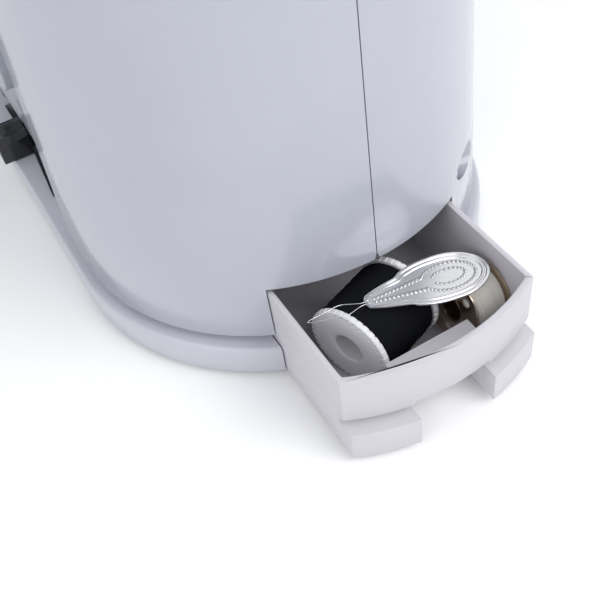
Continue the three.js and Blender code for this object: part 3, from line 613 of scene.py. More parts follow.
@dataclass
class Casing:
    """Front and rear shells of glossy white plastic, split along the middle."""

    seam: float = 0.15
    edge: float = 1.2
    harp_left: float = -86.0
    harp_right: float = -14.0
    harp_top: float = 188.0
    head_under: float = 150.0
    harp_round: float = 12.0
    panel_top: float = 150.0
    panel_round: float = 30.0
    panel_fillet: float = 4.0
    screws: tuple[Point2, ...] = ((-140.0, 45.0), (110.5, 36.0), (-130.0, 200.0), (92.0, 190.0))
    dial: Point2 = (-38.0, 48.0)
    tension: Point2 = (-132.0, 222.0)
    reverse: tuple[float, float, float, float] = (22.0, 70.0, 24.3, 13.3)
    jack: Point2 = (40.0, 40.0)

    def ring(self, z: float, extra: float, top: float, rounding: float,
             lip: float = 0.0) -> list[Point3]:
        """One level of the leaning, round-topped body.

        Args:
            z: height of the level.
            extra: how much further in than the outside it stands.
            top: height of the body's top.
            rounding: radius of its top edge.
            lip: a further inset, for the rounded lower lip.

        Returns:
            The ring of points.
        """
        above = max(0.0, z - (top - rounding))
        lean = LEAN * (z - LIP_Z)
        inset = lip + lean + rounding - math.sqrt(max(0.0, rounding ** 2 - above ** 2))
        half = BASE_HALF - LEDGE - extra
        scale = (half - inset) / half
        middle = (BASE_LEFT + END_X) / 2
        ring = []
        for x, y in plan(LEDGE + extra):
            if x > END_X:
                x = END_X + (x - END_X) * scale
            elif x < middle:
                x += inset
            ring.append((x, y * scale, z))
        return ring

    def body(self, name: str, low: float, extra: float, lip: bool) -> bpy.types.Object:
        """A closed body of the casing's shape.

        Args:
            name: the object's name.
            low: its lowest level.
            extra: how much smaller it is all round.
            lip: rounds the lower edge.

        Returns:
            The body.
        """
        top, rounding = TOP_Z - extra, TOP_ROUND - extra
        rings = []
        if lip:
            rings.append(self.ring(low, extra, top, rounding, 0.5))
            rings.append(self.ring(low + 0.15, extra, top, rounding, 0.2))
            low += 0.5
        side = top - rounding
        rings += [self.ring(low + (side - low) * i / 8, extra, top, rounding) for i in range(9)]
        for i in range(1, 11):
            z = side + rounding * math.sin(math.pi / 2 * i / 10)
            rings.append(self.ring(z, extra, top, rounding))
        return stack(name, rings)

    def harp(self, grow: float) -> bpy.types.Object:
        """The air under arm and head, grown all round by an amount."""
        r = self.harp_round - grow
        right = self.harp_right + grow - r
        ceiling = self.harp_top + grow
        outline = [(-FAR, BED_TOP - grow)]
        outline += arc(right, BED_TOP - grow + r, r, -90, 0, 8)
        outline += arc(right, ceiling - r, r, 0, 90, 8)
        outline += arc(self.harp_left - grow + r, ceiling - r, r, 90, 180, 8)
        outline += [(self.harp_left - grow, self.head_under + grow),
                    (-FAR, self.head_under + grow)]
        return prism("harp_cut", outline, -FAR, FAR, Axis.Y)

    def panel(self, grow: float) -> bpy.types.Object:
        """The air before the recessed control face, with a fillet where it ends."""
        rings = []
        fillet = self.panel_fillet
        steps = 6
        for i in range(-1, steps + 1):
            turn = math.pi / 2 * max(i, 0) / steps
            depth = -FAR if i < 0 else PANEL_Y + grow - fillet * (1 - math.sin(turn))
            inset = fillet * (1 - math.cos(turn)) - grow
            right, top = PANEL_RIGHT - inset, self.panel_top - inset
            r = self.panel_round - inset
            outline = [(-FAR, -FAR), (right, -FAR)] + arc(right - r, top - r, r, 0, 90, 14)
            outline.append((-FAR, top))
            rings.append([(x, depth, z) for x, z in outline])
        return stack("panel_cut", rings)

    def hollow(self) -> bpy.types.Object:
        """The space inside the casing."""
        inner = self.body("hollow", LIP_Z - 6, WALL, lip=False)
        return carve(inner, self.harp(WALL), self.panel(WALL))

    def plate_cut(self, x0: float, x1: float, half: float, grow: float,
                  z0: float) -> bpy.types.Object:
        """The opening for a plate that lies flush in the bed."""
        return block("plate_cut", x0 - grow, x1 + grow, -half - grow, half + grow, z0, BED_TOP + 10)

    def whole(self) -> bpy.types.Object:
        """The casing before it is split into its two shells."""
        shell = carve(self.body("casing", LIP_Z, 0.0, lip=True), self.harp(0.0), self.panel(0.0))
        soften(shell, self.edge, 3, 40.0, clamp=False)
        vee = prism("vee", [(-1.0, BAY_TOP - 1), (1.0, BAY_TOP - 1), (0.0, BAY_TOP + 2.2)],
                    110, FAR, Axis.X)
        bay = block("bay", BAY_BACK, FAR, -BAY_HALF, BAY_HALF, -10, BAY_TOP)
        needle_hole = block("needle_hole", -124, -92, -12, 24, self.head_under - 10,
                            self.head_under + WALL + 1)
        return carve(
            shell, self.hollow(), bay, vee, needle_hole,
            self.plate_cut(-122, -72, 24, 0.3, BED_TOP - 1.5),
            self.plate_cut(-122, -72, 24, -1.2, BED_TOP - 10),
            self.plate_cut(-FAR, -122.6, 20, 0.3, BED_TOP - 1.5),
            self.plate_cut(-FAR, -122.6, 20, -1.2, BED_TOP - 10),
            rod("shaft_hole", Axis.X, 60, 0, SHAFT_Z, 7, 100),
            rod("pin_hole", Axis.Z, 60, 14, TOP_Z - 10, 2.6, 30),
            rod("winder_hole", Axis.Z, 96, -14, TOP_Z - 20, 5, 30),
        )

    def front(self, shell: bpy.types.Object) -> bpy.types.Object:
        """Cuts the front shell's own openings."""
        cx, cz, a, b = self.reverse
        ellipse = [(cx + a * math.cos(t), cz + b * math.sin(t))
                   for t in (2 * math.pi * i / 72 for i in range(72))]
        return carve(
            shell, block("behind", -FAR, FAR, -self.seam, FAR, -FAR, FAR),
            block("lever_slot", NEEDLE_X - 3, NEEDLE_X + 3, -80, -40, 186, 238),
            slider_slot("slot", LIP_Z - 5, LIP_Z + 5.4),
            rod("dial_hole", Axis.Y, self.dial[0], -70, self.dial[1], 5, 30),
            rod("tension_hole", Axis.Y, self.tension[0], -70, self.tension[1], 5, 40),
            rod("lamp_hole", Axis.Z, -135, -22, self.head_under - 5, 7.3, 12),
            prism("button_hole", ellipse, -70, -40, Axis.Y),
        )

    def rear(self, shell: bpy.types.Object) -> bpy.types.Object:
        """Cuts the rear shell's screw wells, lifter slot and sockets."""
        wells = [rod("well", Axis.Y, x, 22, z, 4.2, 60) for x, z in self.screws]
        x, z = self.jack
        return carve(
            shell, block("before", -FAR, FAR, -FAR, self.seam, -FAR, FAR), *wells,
            block("lifter_slot", NEEDLE_X - 4.5, NEEDLE_X + 4.5, 40, 80, 162, 208),
            rod("power_hole", Axis.Y, x, 40, z, 6, 40),
            block("pedal_hole", x - 26, x - 12, 40, 80, z - 6, z + 6),
        )

    def build(self) -> None:
        """Makes both shells and dresses them."""
        front = self.whole()
        front.name = "front_shell_moulding"
        rear = front.copy()
        rear.data = front.data.copy()
        rear.name = "rear_shell_moulding"
        bpy.context.scene.collection.objects.link(rear)
        dress(shade(self.front(front)), SHELL, "machine", ["front_shell"])
        dress(shade(self.rear(rear)), SHELL, "machine", ["rear_shell"])


def slider_slot(name: str, low: float, high: float) -> bpy.types.Object:
    """The opening that the speed slider runs in; it widens at its right-hand end."""
    outline = [(-32, PANEL_Y - 0.9), (0, PANEL_Y - 0.9), (25.3, -57.7), (26, PANEL_Y + 1),
               (26, PANEL_Y + 7), (-32, PANEL_Y + 7)]
    return prism(name, outline, low, high)


@dataclass
class Base:
    """Tray that the casing stands on, with the drawer's rails and the rubber feet."""

    inner: float = WALL + 0.5
    rail_top: float = 27.0
    bead_z: float = 15.0
    bead_h: float = 2.4
    posts: tuple[Point2, ...] = ((-42.0, -9.0), (-42.0, 9.0), (12.0, -9.0), (12.0, 9.0))

    def skirt(self) -> bpy.types.Object:
        """The outside of the tray, with a softly rounded upper edge."""
        levels = ((2.0, 0.7), (2.2, 0.25), (2.7, 0.0), (10.6, 0.0), (11.1, 0.1), (11.5, 0.35),
                  (11.72, 0.7), (SKIRT_TOP, 1.2))
        return stack("base_tray_moulding", [plan_at(z, inset) for z, inset in levels])

    def build(self) -> None:
        """Makes the tray and dresses tray, cover and feet."""
        panel = Casing().panel
        upstand = stack("upstand", [plan_at(z, LEDGE + self.inner) for z in (10.8, 19.4)])
        hollow = stack("tray_hollow",
                       [plan_at(z, LEDGE + self.inner + 2) for z in (FLOOR_TOP, FAR)])
        tray = fuse(self.skirt(), carve(upstand, panel(self.inner)))
        carve(tray, carve(hollow, panel(self.inner + 2)))
        fuse(tray, *(rod("post", Axis.Z, x, y, 3.5, 4, 30.2, 24) for x, y in self.posts))
        carve(tray, block("bay", BAY_BACK, FAR, -BAY_HALF, BAY_HALF, -10, BAY_TOP))
        fuse(tray, *(self.rail(side) for side in (-1, 1)))
        carve(tray, slider_slot("slot", 4.0, LIP_Z + 12),
              block("battery_cut", -130.3, -49.7, -30.3, 30.3, -10, FLOOR_TOP + 5))
        dress(shade(tray), BASE, "machine", ["base_tray"])
        dress_node("battery_cover", BASE)
        for number in range(1, 5):
            dress_node(f"base_foot_{number}", RUBBER, 0.4)

    def rail(self, side: int) -> bpy.types.Object:
        """One of the two rails that the drawer's beads run in."""
        low, high = sorted((side * BAY_HALF, side * (BAY_HALF + 2.5)))
        rail = block("rail", BAY_BACK - 2, END_X + 46, low, high, 3.5, self.rail_top)
        groove = block("groove", BAY_BACK + 3, END_X + 45, low - 2, high + 2, self.bead_z - 0.4,
                       self.bead_z + self.bead_h + 0.4)
        return carve(rail, groove)


@dataclass
class Drawer:
    """Accessory drawer: foot, body and band in steps, a finger notch and its inner box."""

    centre: float = END_X + 32.5
    half: float = 27.75
    wall: float = 1.5
    back: float = -14.0
    rim: float = 30.2
    band_r: float = SHELL_R - LEAN * (30.2 - LIP_Z) / 2
    body_r: float = SHELL_R - 2.6
    notch_half: float = 10.9
    notch_top: float = 15.9
    box_top: float = 20.0
    box_back: float = 144.1
    edge: float = 0.28

    def outline(self, half: float, back: float, radius: float) -> list[Point2]:
        """Plan at one level: square behind, an arc in front."""
        swing = math.degrees(math.asin(half / radius))
        behind = self.centre + back
        return [(behind, -half)] + arc(self.centre, 0, radius, -swing, swing, 44) + [(behind, half)]

    def build(self) -> None:
        """Makes the drawer and dresses it."""
        in_half, in_back = self.half - self.wall, self.back + self.wall
        box = prism("drawer_moulding", self.outline(self.half, self.back, BASE_HALF),
                    FOOT_RISE, SKIRT_TOP)
        fuse(box,
             prism("body", self.outline(self.half, self.back, self.body_r), SKIRT_TOP - 1, 15.9),
             prism("band", self.outline(self.half, self.back, self.band_r), 14.9, self.rim))
        carve(box,
              prism("low", self.outline(in_half, in_back, self.body_r - 1.7), 4.0, FAR),
              prism("high", self.outline(in_half, in_back, self.band_r - 1.8), 16.8, FAR))
        fuse(box, block("inner_box", self.box_back, self.centre + self.body_r - 1,
                        -self.notch_half - 1.4, self.notch_half + 1.4, 3.1, self.box_top))
        carve(box, block("notch", self.box_back + self.wall, FAR, -self.notch_half,
                         self.notch_half, -10, self.notch_top))
        bead_x = self.centre + self.back + 1
        for side in (-1, 1):
            low, high = sorted((side * (self.half - 0.5), side * (self.half + 1.8)))
            fuse(box, block("bead", bead_x, bead_x + 18, low, high, 15, 17.4))
        split_flats(box)
        soften(box, self.edge, 2, 50.0, clamp=False)
        dress(shade(box, 25), DRAWER, "drawer", ["drawer"])


def split_flats(thing: bpy.types.Object) -> None:
    """Cuts level faces with many corners into triangles, so that none folds over a hole.

    Args:
        thing: the piece.
    """
    work = bmesh.new()
    work.from_mesh(thing.data)
    flats = [face for face in work.faces if len(face.verts) > 4 and abs(face.normal.z) > LEVEL]
    bmesh.ops.triangulate(work, faces=flats, ngon_method="EAR_CLIP")
    work.to_mesh(thing.data)
    work.free()


# ---- what lies in the drawer -----------------------------------------------------------------


def lie_down(x: float, y: float, z: float, across: float, along: float,
             tilt: float = 0.0) -> Matrix:
    """Matrix that lays a reel down: its +Z takes the direction (-across, along).

    Args:
        x, y, z: where its origin lies.
        across, along: parts of its axis that run towards -X and +Y.
        tilt: degrees that the axis leans from level.

    Returns:
        The matrix.
    """
    turn = math.atan2(across, along)
    return (Matrix.Translation((x, y, z)) @ Matrix.Rotation(turn, 4, "Z")
            @ Matrix.Rotation(math.radians(tilt - 90.0), 4, "X"))


def gather(name: str, things: Sequence[bpy.types.Object]) -> bpy.types.Object:
    """Puts several meshes into one object.

    Args:
        name: the object's name.
        things: the meshes, which are used up.

    Returns:
        The joint object.
    """
    work = bmesh.new()
    for thing in things:
        work.from_mesh(thing.data)
    mesh = bpy.data.meshes.new(name)
    work.to_mesh(mesh)
    work.free()
    for thing in things:
        spent = thing.data
        bpy.data.objects.remove(thing)
        bpy.data.meshes.remove(spent)
    made = bpy.data.objects.new(name, mesh)
    bpy.context.scene.collection.objects.link(made)
    return made


@dataclass
class Winding:
    """Thread wound on a reel: close turns, and a few that cross them."""

    low: float
    high: float
    radius: float
    core: float
    place: Matrix
    thread: float = 0.135
    pitch: float = 0.29
    taper: float = 0.5
    crossing: float = 2.3
    steps: int = 48

    def radius_at(self, height: float) -> float:
        """Radius of the wound shape at a height; it falls away near both ends."""
        near = min(height - self.low, self.high - height)
        return self.radius - self.taper * max(0.0, 1 - near / 2.2) ** 2

    def turns(self, name: str, pitch: float, rise: float, lift: float,
              start: float) -> bpy.types.Object:
        """One helix of thread.

        Args:
            name: the object's name.
            pitch: advance for each turn.
            rise: +1 runs up, -1 down.
            lift: how far outside the wound shape its middle lies.
            start: first angle.

        Returns:
            The thread as a tube.
        """
        span = self.high - self.low - 2 * self.thread
        count = int(span / pitch * self.steps)
        path = []
        for i in range(count + 1):
            along = span * i / count
            height = self.low + self.thread + (along if rise > 0 else span - along)
            angle = start + rise * 2 * math.pi * i / self.steps
            r = self.radius_at(height) + lift
            path.append((r * math.cos(angle), r * math.sin(angle), height))
        return tube(name, path, self.thread, 5, self.place)

    def build(self, name: str) -> bpy.types.Object:
        """Makes the wound thread on its solid heart.

        Args:
            name: the joint object's name.

        Returns:
            The winding.
        """
        inside = self.radius - self.thread
        profile = [(self.core, self.low), (inside - self.taper, self.low)]
        profile += [(self.radius_at(h) - self.thread, h) for h in
                    (self.low + (self.high - self.low) * i / 12 for i in range(1, 12))]
        profile += [(inside - self.taper, self.high), (self.core, self.high),
                    (self.core, self.low)]
        parts = [lathe(name + "_heart", profile, 64, self.place),
                 self.turns(name + "_close", self.pitch, 1, -self.thread, 0.0),
                 self.turns(name + "_over", self.crossing, -1, 0.02, 0.7),
                 self.turns(name + "_across", self.crossing * 1.4, 1, 0.03, 2.1)]
        return gather(name, parts)


@dataclass
class Spool:
    """Plastic thread reel with notched flanges, full of black thread."""

    place: Matrix = field(default_factory=lambda: lie_down(132.4, -15.6, 16.0, 0.345, 0.94))
    r: float = 12.0
    length: float = 23.0
    flange: float = 1.8
    bore: float = 4.2
    barrel: float = 6.2
    teeth: int = 38
    tooth_depth: float = 0.3
    pocket: float = 0.55

    def ripple(self, rows: Sequence[Point2]) -> Callable[[float, int], float]:
        """How far the rim falls back between its teeth, for each profile row."""
        def depth(angle: float, row: int) -> float:
            """Radius to add at an angle."""
            if rows[row][0] < self.r - 0.6:
                return 0.0
            phase = (angle * self.teeth / (2 * math.pi)) % 1.0
            return -self.tooth_depth if 0.68 < phase < 0.96 else 0.0
        return depth

    def pockets(self) -> bpy.types.Object:
        """The small square notches just inside both rims, as one cutter."""
        cutters = []
        for i in range(self.teeth):
            spin = Matrix.Rotation(2 * math.pi * (i + 0.82) / self.teeth, 4, "Z")
            for low, high in ((-1.0, self.pocket), (self.length - self.pocket, self.length + 1)):
                corners = [(self.r - 1.45, -0.42), (self.r - 0.42, -0.46),
                           (self.r - 0.42, 0.46), (self.r - 1.45, 0.42)]
                rings = [[(x, y, z) for x, y in corners] for z in (low, high)]
                cutters.append(stack("pocket", rings, self.place @ spin))
        return gather("pockets", cutters)

    def build(self) -> None:
        """Makes reel and thread and dresses them."""
        r, flange, length = self.r, self.flange, self.length
        near = [(self.bore + 0.25, 0.12), (self.bore + 0.6, 0.0), (r - 1.75, 0.0), (r - 0.3, 0.12),
                (r, 0.4), (r, flange - 0.3), (r - 0.3, flange), (r - 1.3, flange),
                (self.barrel, flange)]
        far = [(radius, length - height) for radius, height in reversed(near)]
        rows = near + far + [(self.bore, length - 0.4), (self.bore, 0.4)]
        rows.append(rows[0])
        reel = lathe("thread_reel", rows, self.teeth * 12, self.place, self.ripple(rows))
        carve(reel, self.pockets())
        dress(shade(reel, 30), SPOOL_WHITE, "drawer", ["thread_spool"])
        wound = Winding(flange + 0.1, length - flange - 0.1, r - 0.5, 6.3, self.place)
        dress(shade(wound.build("spool_winding"), 80), BLACK_THREAD, "drawer", ["spool_thread"])


@dataclass
class Bobbin:
    """Pressed metal bobbin with cupped, windowed flanges and pale thread."""

    place: Matrix = field(default_factory=lambda: lie_down(135.8, 18.9, 15.1, 0.106, 0.994,
                                                              -6.07))
    r: float = 10.15
    length: float = 11.7
    core: float = 4.2
    windows: int = 5
    window_r: float = 1.25
    window_ring: float = 7.0

    def flange(self) -> list[Point2]:
        """Profile of the near flange, from the core's bore out to the rim and back."""
        half, r = self.length / 2, self.r
        return [(self.core - 0.9, -half + 0.5), (self.core - 0.8, -half + 0.12),
                (self.core - 0.4, -half), (self.core + 0.4, -half + 0.06),
                (self.core + 0.9, -half + 0.22), (r - 1.5, -half + 0.22), (r - 0.9, -half + 0.04),
                (r - 0.35, -half), (r, -half + 0.15), (r, -half + 0.5), (r - 0.3, -half + 0.6),
                (r - 1.0, -half + 0.6), (self.core + 0.3, -half + 0.6), (self.core, -half + 0.9)]

    def build(self) -> None:
        """Makes bobbin and thread and dresses them."""
        near = self.flange()
        rows = near + [(radius, -height) for radius, height in reversed(near)]
        rows.append(rows[0])
        reel = lathe("steel_bobbin_pressing", rows, 120, self.place)
        for i in range(self.windows):
            angle = (i + 0.3) / self.windows * 2 * math.pi
            spot = Matrix.Translation((self.window_ring * math.cos(angle),
                                       self.window_ring * math.sin(angle), -self.length))
            profile = [(0.0, 0.0), (self.window_r, 0.0), (self.window_r, self.length * 2),
                       (0.0, self.length * 2)]
            carve(reel, lathe("window", profile, 28, self.place @ spot))
        dress(shade(reel, 30), WARM_PLATE, "drawer", ["steel_bobbin"])
        half = self.length / 2 - 0.75
        wound = Winding(-half, half, self.r - 1.15, self.core + 0.1, self.place, pitch=0.27,
                        taper=0.35, crossing=3.1)
        dress(shade(wound.build("bobbin_winding"), 80), PALE_THREAD, "drawer", ["bobbin_thread"])


@dataclass
class Threader:
    """Needle threader: a stamped plate with a double rim and sprays of leaves, and its wire."""

    tip: Point3 = (132.3, -9.7, 29.2)
    length: float = 34.0
    head_r: float = 7.7
    head_long: float = 11.5
    thick: float = 0.6
    wire_r: float = 0.1

    def place(self) -> Matrix:
        """Where the plate lies: its tip at the tip point, its length nearly along +Y."""
        return (Matrix.Translation(self.tip)
                @ Matrix.Rotation(-math.atan2(4.2, 33.8), 4, "Z")
                @ Matrix.Rotation(-math.atan2(3.2, self.length), 4, "X"))

    @staticmethod
    def bend(a: Point2, b: Point2, c: Point2, d: Point2, steps: int) -> list[Point2]:
        """Points of a Bezier curve, without its last point."""
        spots = []
        for i in range(steps):
            t = i / steps
            w = ((1 - t) ** 3, 3 * t * (1 - t) ** 2, 3 * t * t * (1 - t), t ** 3)
            spots.append((sum(k * p[0] for k, p in zip(w, (a, b, c, d))),
                          sum(k * p[1] for k, p in zip(w, (a, b, c, d)))))
        return spots

    def outline(self) -> list[Point2]:
        """The plate's outline, anticlockwise from beside its tip."""
        head_y = self.length - self.head_long
        r = self.head_r
        right = self.bend((1.8, 0.6), (3.2, 3.0), (3.8, 6.5), (4.7, 9.8), 10)
        right += self.bend((4.7, 9.8), (4.9, 11.0), (5.9, 11.2), (6.2, 12.6), 5)
        right += self.bend((6.2, 12.6), (7.4, 15.5), (7.7, 18.5), (r, head_y), 10)
        crown = [(x, head_y + (y - head_y) * self.head_long / r)
                 for x, y in arc(0, head_y, r, 0, 180, 40)]
        tip = self.bend((-1.8, 0.6), (-0.9, -0.25), (0.9, -0.25), (1.8, 0.6), 6)[1:]
        left = [(-x, y) for x, y in reversed(right)]
        return right + crown[:-1] + [(-r, head_y)] + left[:-1] + [(-1.8, 0.6)] + tip

    def inset(self, outline: Sequence[Point2], amount: float, z: float) -> list[Point3]:
        """The outline moved in by an amount that eases off towards the tip, at a height."""
        ring = []
        count = len(outline)
        for i, (x, y) in enumerate(outline):
            ax, ay = outline[i - 1]
            bx, by = outline[(i + 1) % count]
            tx, ty = bx - ax, by - ay
            size = math.hypot(tx, ty) or 1.0
            ease = min(1.0, 0.32 + 0.68 * max(0.0, y) / 12.0)
            ring.append((x - ty / size * amount * ease, y + tx / size * amount * ease, z))
        return ring

    def leaf(self, x: float, y: float, length: float, turn: float, high: float) -> bpy.types.Object:
        """A low raised leaf on the plate's face."""
        rings = []
        steps = 7
        for i in range(steps + 1):
            t = i / steps
            width = 0.02 + 0.32 * length * math.sin(math.pi * t) ** 0.8
            lift = high * math.sin(math.pi * t) + 0.01
            along = length * (t - 0.5)
            rings.append([(along, width * math.cos(a), max(0.0, lift * math.sin(a)))
                          for a in (math.pi * k / 6 for k in range(7))])
        spot = Matrix.Translation((x, y, self.thick - 0.3)) @ Matrix.Rotation(turn, 4, "Z")
        return stack("leaf", rings, self.place() @ spot)

    def sprays(self) -> list[bpy.types.Object]:
        """Leaves in two arcs over the head and a row along the stem."""
        leaves = []
        head_y = self.length - self.head_long
        for r, long, count, size in ((4.4, 7.4, 17, 1.35), (2.3, 4.6, 10, 1.25)):
            for i in range(count):
                for side in (-1, 1):
                    angle = math.pi / 2 + side * (0.12 + i * 2.75 / count)
                    x = r * math.cos(angle)
                    y = head_y + 0.5 + long * math.sin(angle)
                    leaves.append(self.leaf(x, y, size, angle + side * 1.1, 0.28))
        for i in range(13):
            y = 2.6 + i * 1.12
            reach = 0.5 + 0.12 * i
            for side in (-1, 1):
                leaves.append(self.leaf(side * reach, y, 1.3 + 0.04 * i,
                                        math.pi / 2 - side * 0.75, 0.26))
        return leaves

    def build(self) -> None:
        """Makes plate and wire and dresses them."""
        outline = self.outline()
        levels = ((0.25, 0.0), (0.0, 0.12), (0.0, 0.48), (0.15, 0.6), (0.7, 0.6), (1.0, 0.36),
                  (1.3, 0.36), (1.5, 0.54), (1.8, 0.54), (2.1, 0.3))
        plate = stack("plate", [self.inset(outline, a, z) for a, z in levels], self.place())
        pressed = gather("threader_pressing", [plate] + self.sprays())
        dress(shade(pressed, 30), TIN, "drawer", ["threader_plate"])
        strand = [(0.55, 1.2), (0.4, -0.9), (1.2, -3.4), (1.9, -6.0), (1.3, -9.6), (0.0, -15.2)]
        path = [(x, y, 0.3) for x, y in strand]
        path += [(-x, y, 0.3) for x, y in reversed(strand[:-1])]
        wire = tube("threader_wire_loop", self.rounded(path), self.wire_r, 8, self.place())
        dress(shade(wire, 60), CHROME, "drawer", ["threader_wire"])

    @staticmethod
    def rounded(path: Sequence[Point3]) -> list[Point3]:
        """Fills in a path so that its bends are gentle."""
        spots = []
        for i in range(len(path) - 1):
            before, a = Vector(path[max(i - 1, 0)]), Vector(path[i])
            b, after = Vector(path[i + 1]), Vector(path[min(i + 2, len(path) - 1)])
            for k in range(4):
                t = k / 4
                spots.append(0.5 * ((2 * a) + (b - before) * t
                                    + (2 * before - 5 * a + 4 * b - after) * t * t
                                    + (3 * a - before - 3 * b + after) * t ** 3))
        spots.append(Vector(path[-1]))
        return [tuple(s) for s in spots]


# ---- controls and outer fittings ---------------------------------------------------------------


@dataclass
class Controls:
    """Speed slider, dials, reverse button, handwheel and what stands on the top."""

    knob_x: Point2 = (-9.75, 1.25)
    knob_y: Point2 = (-65.5, -55.0)
    knob_z: Point2 = (12.1, 22.5)
    wheel_x: float = 119.0
    wheel_r: float = 32.0
    grips: int = 12

    def slider(self) -> None:
        """The black speed slider: a ridged finger block on a neck that enters the slot."""
        (x0, x1), (y0, y1), (z0, z1) = self.knob_x, self.knob_y, self.knob_z
        side = [(x0, z0), (x1, z0), (x1, z1 - 3.2), (x1 - 1.2, z1 - 1.2), (x1 - 3.4, z1 - 1.6),
                (x1 - 5.6, z1), (x1 - 6.6, z1), (x1 - 8.4, z1 - 1.6), (x0 + 1.2, z1 - 1.2),
                (x0, z1 - 3.2)]
        knob = prism("speed_slider_knob", side, y0, y1, Axis.Y)
        soften(knob, 0.6, 3, 18.0)
        neck = block("neck", -7.5, -1, y1 - 0.6, PANEL_Y + 4, 13.0, 19.0)
        carrier = block("carrier", -7.5, -1, PANEL_Y + 3.5, PANEL_Y + 6, 13.0, 22.4)
        fuse(knob, neck, carrier)
        dress(shade(knob), BLACK, "speed_slider", ["speed_slider"])

    def handwheel(self) -> None:
        """The handwheel, with shallow finger grips round its rim."""
        rows = [(4.3, 0.0), (21.6, 0.0), (22.2, 0.15), (28.6, 2.8), (31.2, 5.4), (32.0, 7.6),
                (32.0, 14.4), (31.4, 15.9), (29.5, 17.4), (27.0, 17.95), (24.2, 18.0), (23.4, 17.5),
                (22.6, 16.1), (14.8, 16.0), (4.3, 16.0), (4.3, 0.0)]

        def ripple(angle: float, row: int) -> float:
            """How far the rim dips at a finger grip."""
            phase = (angle * self.grips / (2 * math.pi)) % 1.0
            off = min(phase, 1 - phase) * 2 * math.pi * self.wheel_r / self.grips
            return -0.85 * math.exp(-(off / 1.8) ** 2) if rows[row][0] > 28 else 0.0

        place = aim(Axis.X, self.wheel_x, 0, SHAFT_Z)
        wheel = lathe("handwheel_moulding", rows, 240, place, ripple)
        dress(shade(wheel, 25), SHELL, "main_shaft", ["handwheel"])

    def spring(self) -> None:
        """The coil that presses the foot down."""
        path = []
        turns, steps = 9, 20
        for i in range(turns * steps + 1):
            angle = 2 * math.pi * i / steps
            path.append((NEEDLE_X + 4.25 * math.cos(angle), 16 + 4.25 * math.sin(angle),
                         206.7 + 32.6 * i / (turns * steps)))
        dress(shade(tube("presser_coil", path, 0.6, 8), 60), STEEL, "machine",
              ["presser_spring"])

    def dial_marks(self) -> None:
        """Ticks round the stitch dial, raised a little from the panel."""
        ticks = []
        for i in range(12):
            angle = math.radians(90 - i * 30)
            inner, outer = 18.6, 20.0 if i % 2 else 20.6
            spot = (Matrix.Translation((-38, PANEL_Y - 0.1, 48)) @ Matrix.Rotation(-angle, 4, "Y"))
            corners = [(inner, -0.2), (outer, -0.2), (outer, 0.2), (inner, 0.2)]
            rings = [[(x, y, z) for x, z in corners] for y in (-0.05, 0.1)]
            ticks.append(stack("tick", rings, spot))
        dress(gather("stitch_dial_ticks", ticks), GREY, "machine", ())

    def build(self) -> None:
        """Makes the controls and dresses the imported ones."""
        self.slider()
        self.handwheel()
        self.spring()
        self.dial_marks()
        for name in ("stitch_dial", "tension_dial", "reverse_button", "clutch_knob", "spool_pin",
                     "winder_spindle"):
            dress_node(name, GREY, 0.45)
        for name in ("power_jack", "pedal_jack"):
            dress_node(name, BLACK, 0.2)
        dress_node("thread_guide", CHROME, 0.2)
        dress_node("head_lamp", LENS, 0.4)


@dataclass
class Works:
    """Everything that drives the needle, hook and feed, and the plates in the bed."""

    steel: tuple[str, ...] = ("motor", "motor_pulley", "main_shaft", "needle_crank", "lower_shaft",
                              "bobbin_case", "feed_dog", "needle_bar", "needle_clamp",
                              "presser_bar", "presser_lifter", "casing_screw_1", "casing_screw_2",
                              "casing_screw_3", "casing_screw_4")
    alloy: tuple[str, ...] = ("machine_frame", "motor_bracket", "crank_link")
    chrome: tuple[str, ...] = ("hook", "needle_plate", "needle", "clamp_screw", "presser_foot",
                               "presser_screw", "take_up_lever")
    grey: tuple[str, ...] = ("drive_wheel", "upper_belt_wheel", "lower_belt_wheel")
    rubber: tuple[str, ...] = ("motor_belt", "timing_belt")
    clear: tuple[str, ...] = ("case_bobbin", "bobbin_cover")

    def build(self) -> None:
        """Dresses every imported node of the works."""
        for names, finish, edge in ((self.steel, STEEL, 0.15), (self.alloy, ALLOY, 0.3),
                                    (self.chrome, CHROME, 0.12), (self.grey, GREY, 0.15),
                                    (self.rubber, RUBBER, 0.1), (self.clear, CLEAR, 0.12)):
            for name in names:
                dress_node(name, finish, edge)


# ---- studio ------------------------------------------------------------------------------------


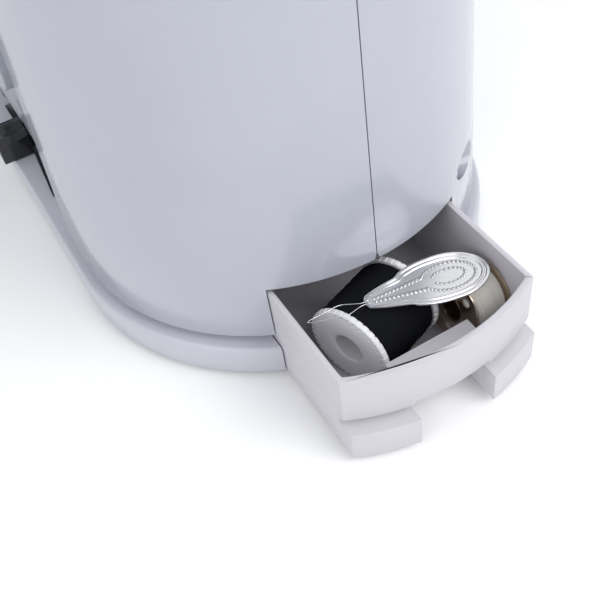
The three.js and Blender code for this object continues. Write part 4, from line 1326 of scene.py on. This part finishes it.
@dataclass
class Studio:
    """Pale floor, soft light and the camera above the machine's round end."""

    place: Point3 = (0.25538, -0.08016, 0.19499)
    right: Point3 = (0.50349647, 0.85772458, -0.10392236)
    up: Point3 = (-0.61700318, 0.44114828, 0.65168648)
    back: Point3 = (0.60481268, -0.26400141, 0.75133539)
    lens: float = 54.0
    floor_size: float = 3.0

    def camera(self) -> None:
        """Makes the camera."""
        data = bpy.data.cameras.new("camera")
        data.lens = self.lens
        data.sensor_width = 36.0
        data.clip_start = 0.005
        made = bpy.data.objects.new("camera", data)
        turn = Matrix((self.right, self.up, self.back)).transposed().to_4x4()
        made.matrix_world = Matrix.Translation(self.place) @ turn
        bpy.context.scene.collection.objects.link(made)
        bpy.context.scene.camera = made

    def floor(self) -> None:
        """Makes the pale floor."""
        s = self.floor_size / MM
        corners = [(-s, -s), (s, -s), (s, s), (-s, s)]
        floor = prism("studio_floor", corners, -20.0, 0.0)
        finish = Finish("pale_floor", (0.985, 0.985, 0.985), (0.975, 0.975, 0.975), (0.8, 0.9),
                        grain=300.0, relief=0.02)
        floor.data.materials.append(finish.material())

    def lamp(self, name: str, spot: Point3, aim_at: Point3, size: float, power: float,
             tint: Colour = (1.0, 1.0, 1.0)) -> None:
        """A soft square lamp.

        Args:
            name: the lamp's name.
            spot: where it hangs, in metres.
            aim_at: what it points at.
            size: its side, in metres.
            power: in watts.
            tint: its colour.
        """
        data = bpy.data.lights.new(name, "AREA")
        data.shape = "SQUARE"
        data.size = size
        data.energy = power
        data.color = tint
        made = bpy.data.objects.new(name, data)
        ray = Vector(aim_at) - Vector(spot)
        made.matrix_world = (Matrix.Translation(spot)
                             @ ray.to_track_quat("-Z", "Y").to_matrix().to_4x4())
        bpy.context.scene.collection.objects.link(made)

    def build(self) -> None:
        """Sets up world, lamps, floor and camera."""
        scene = bpy.context.scene
        scene.view_settings.view_transform = "Standard"
        scene.view_settings.look = "None"
        world = bpy.data.worlds.new("studio")
        world.use_nodes = True
        ground = world.node_tree.nodes["Background"]
        ground.inputs["Color"].default_value = (0.96, 0.975, 1.0, 1.0)
        ground.inputs["Strength"].default_value = 0.72
        scene.world = world
        self.lamp("key", (0.85, 0.5, 0.95), (0.05, 0.0, 0.1), 0.8, 8.0)
        self.lamp("fill", (0.5, -0.9, 0.9), (0.05, 0.0, 0.1), 0.9, 4.0, (0.97, 0.98, 1.0))
        self.lamp("back", (-0.3, 1.0, 0.9), (0.0, 0.0, 0.1), 0.8, 2.0)
        self.floor()
        self.camera()


def main() -> None:
    """Builds every sub-assembly in order."""
    logging.basicConfig(level=logging.INFO, format="%(message)s")
    builders = (Studio(), Casing(), Base(), Drawer(), Spool(), Bobbin(), Threader(), Controls(),
                Works())
    for builder in builders:
        LOG.info("building %s", type(builder).__name__)
        builder.build()


if __name__ == "__main__":
    main()
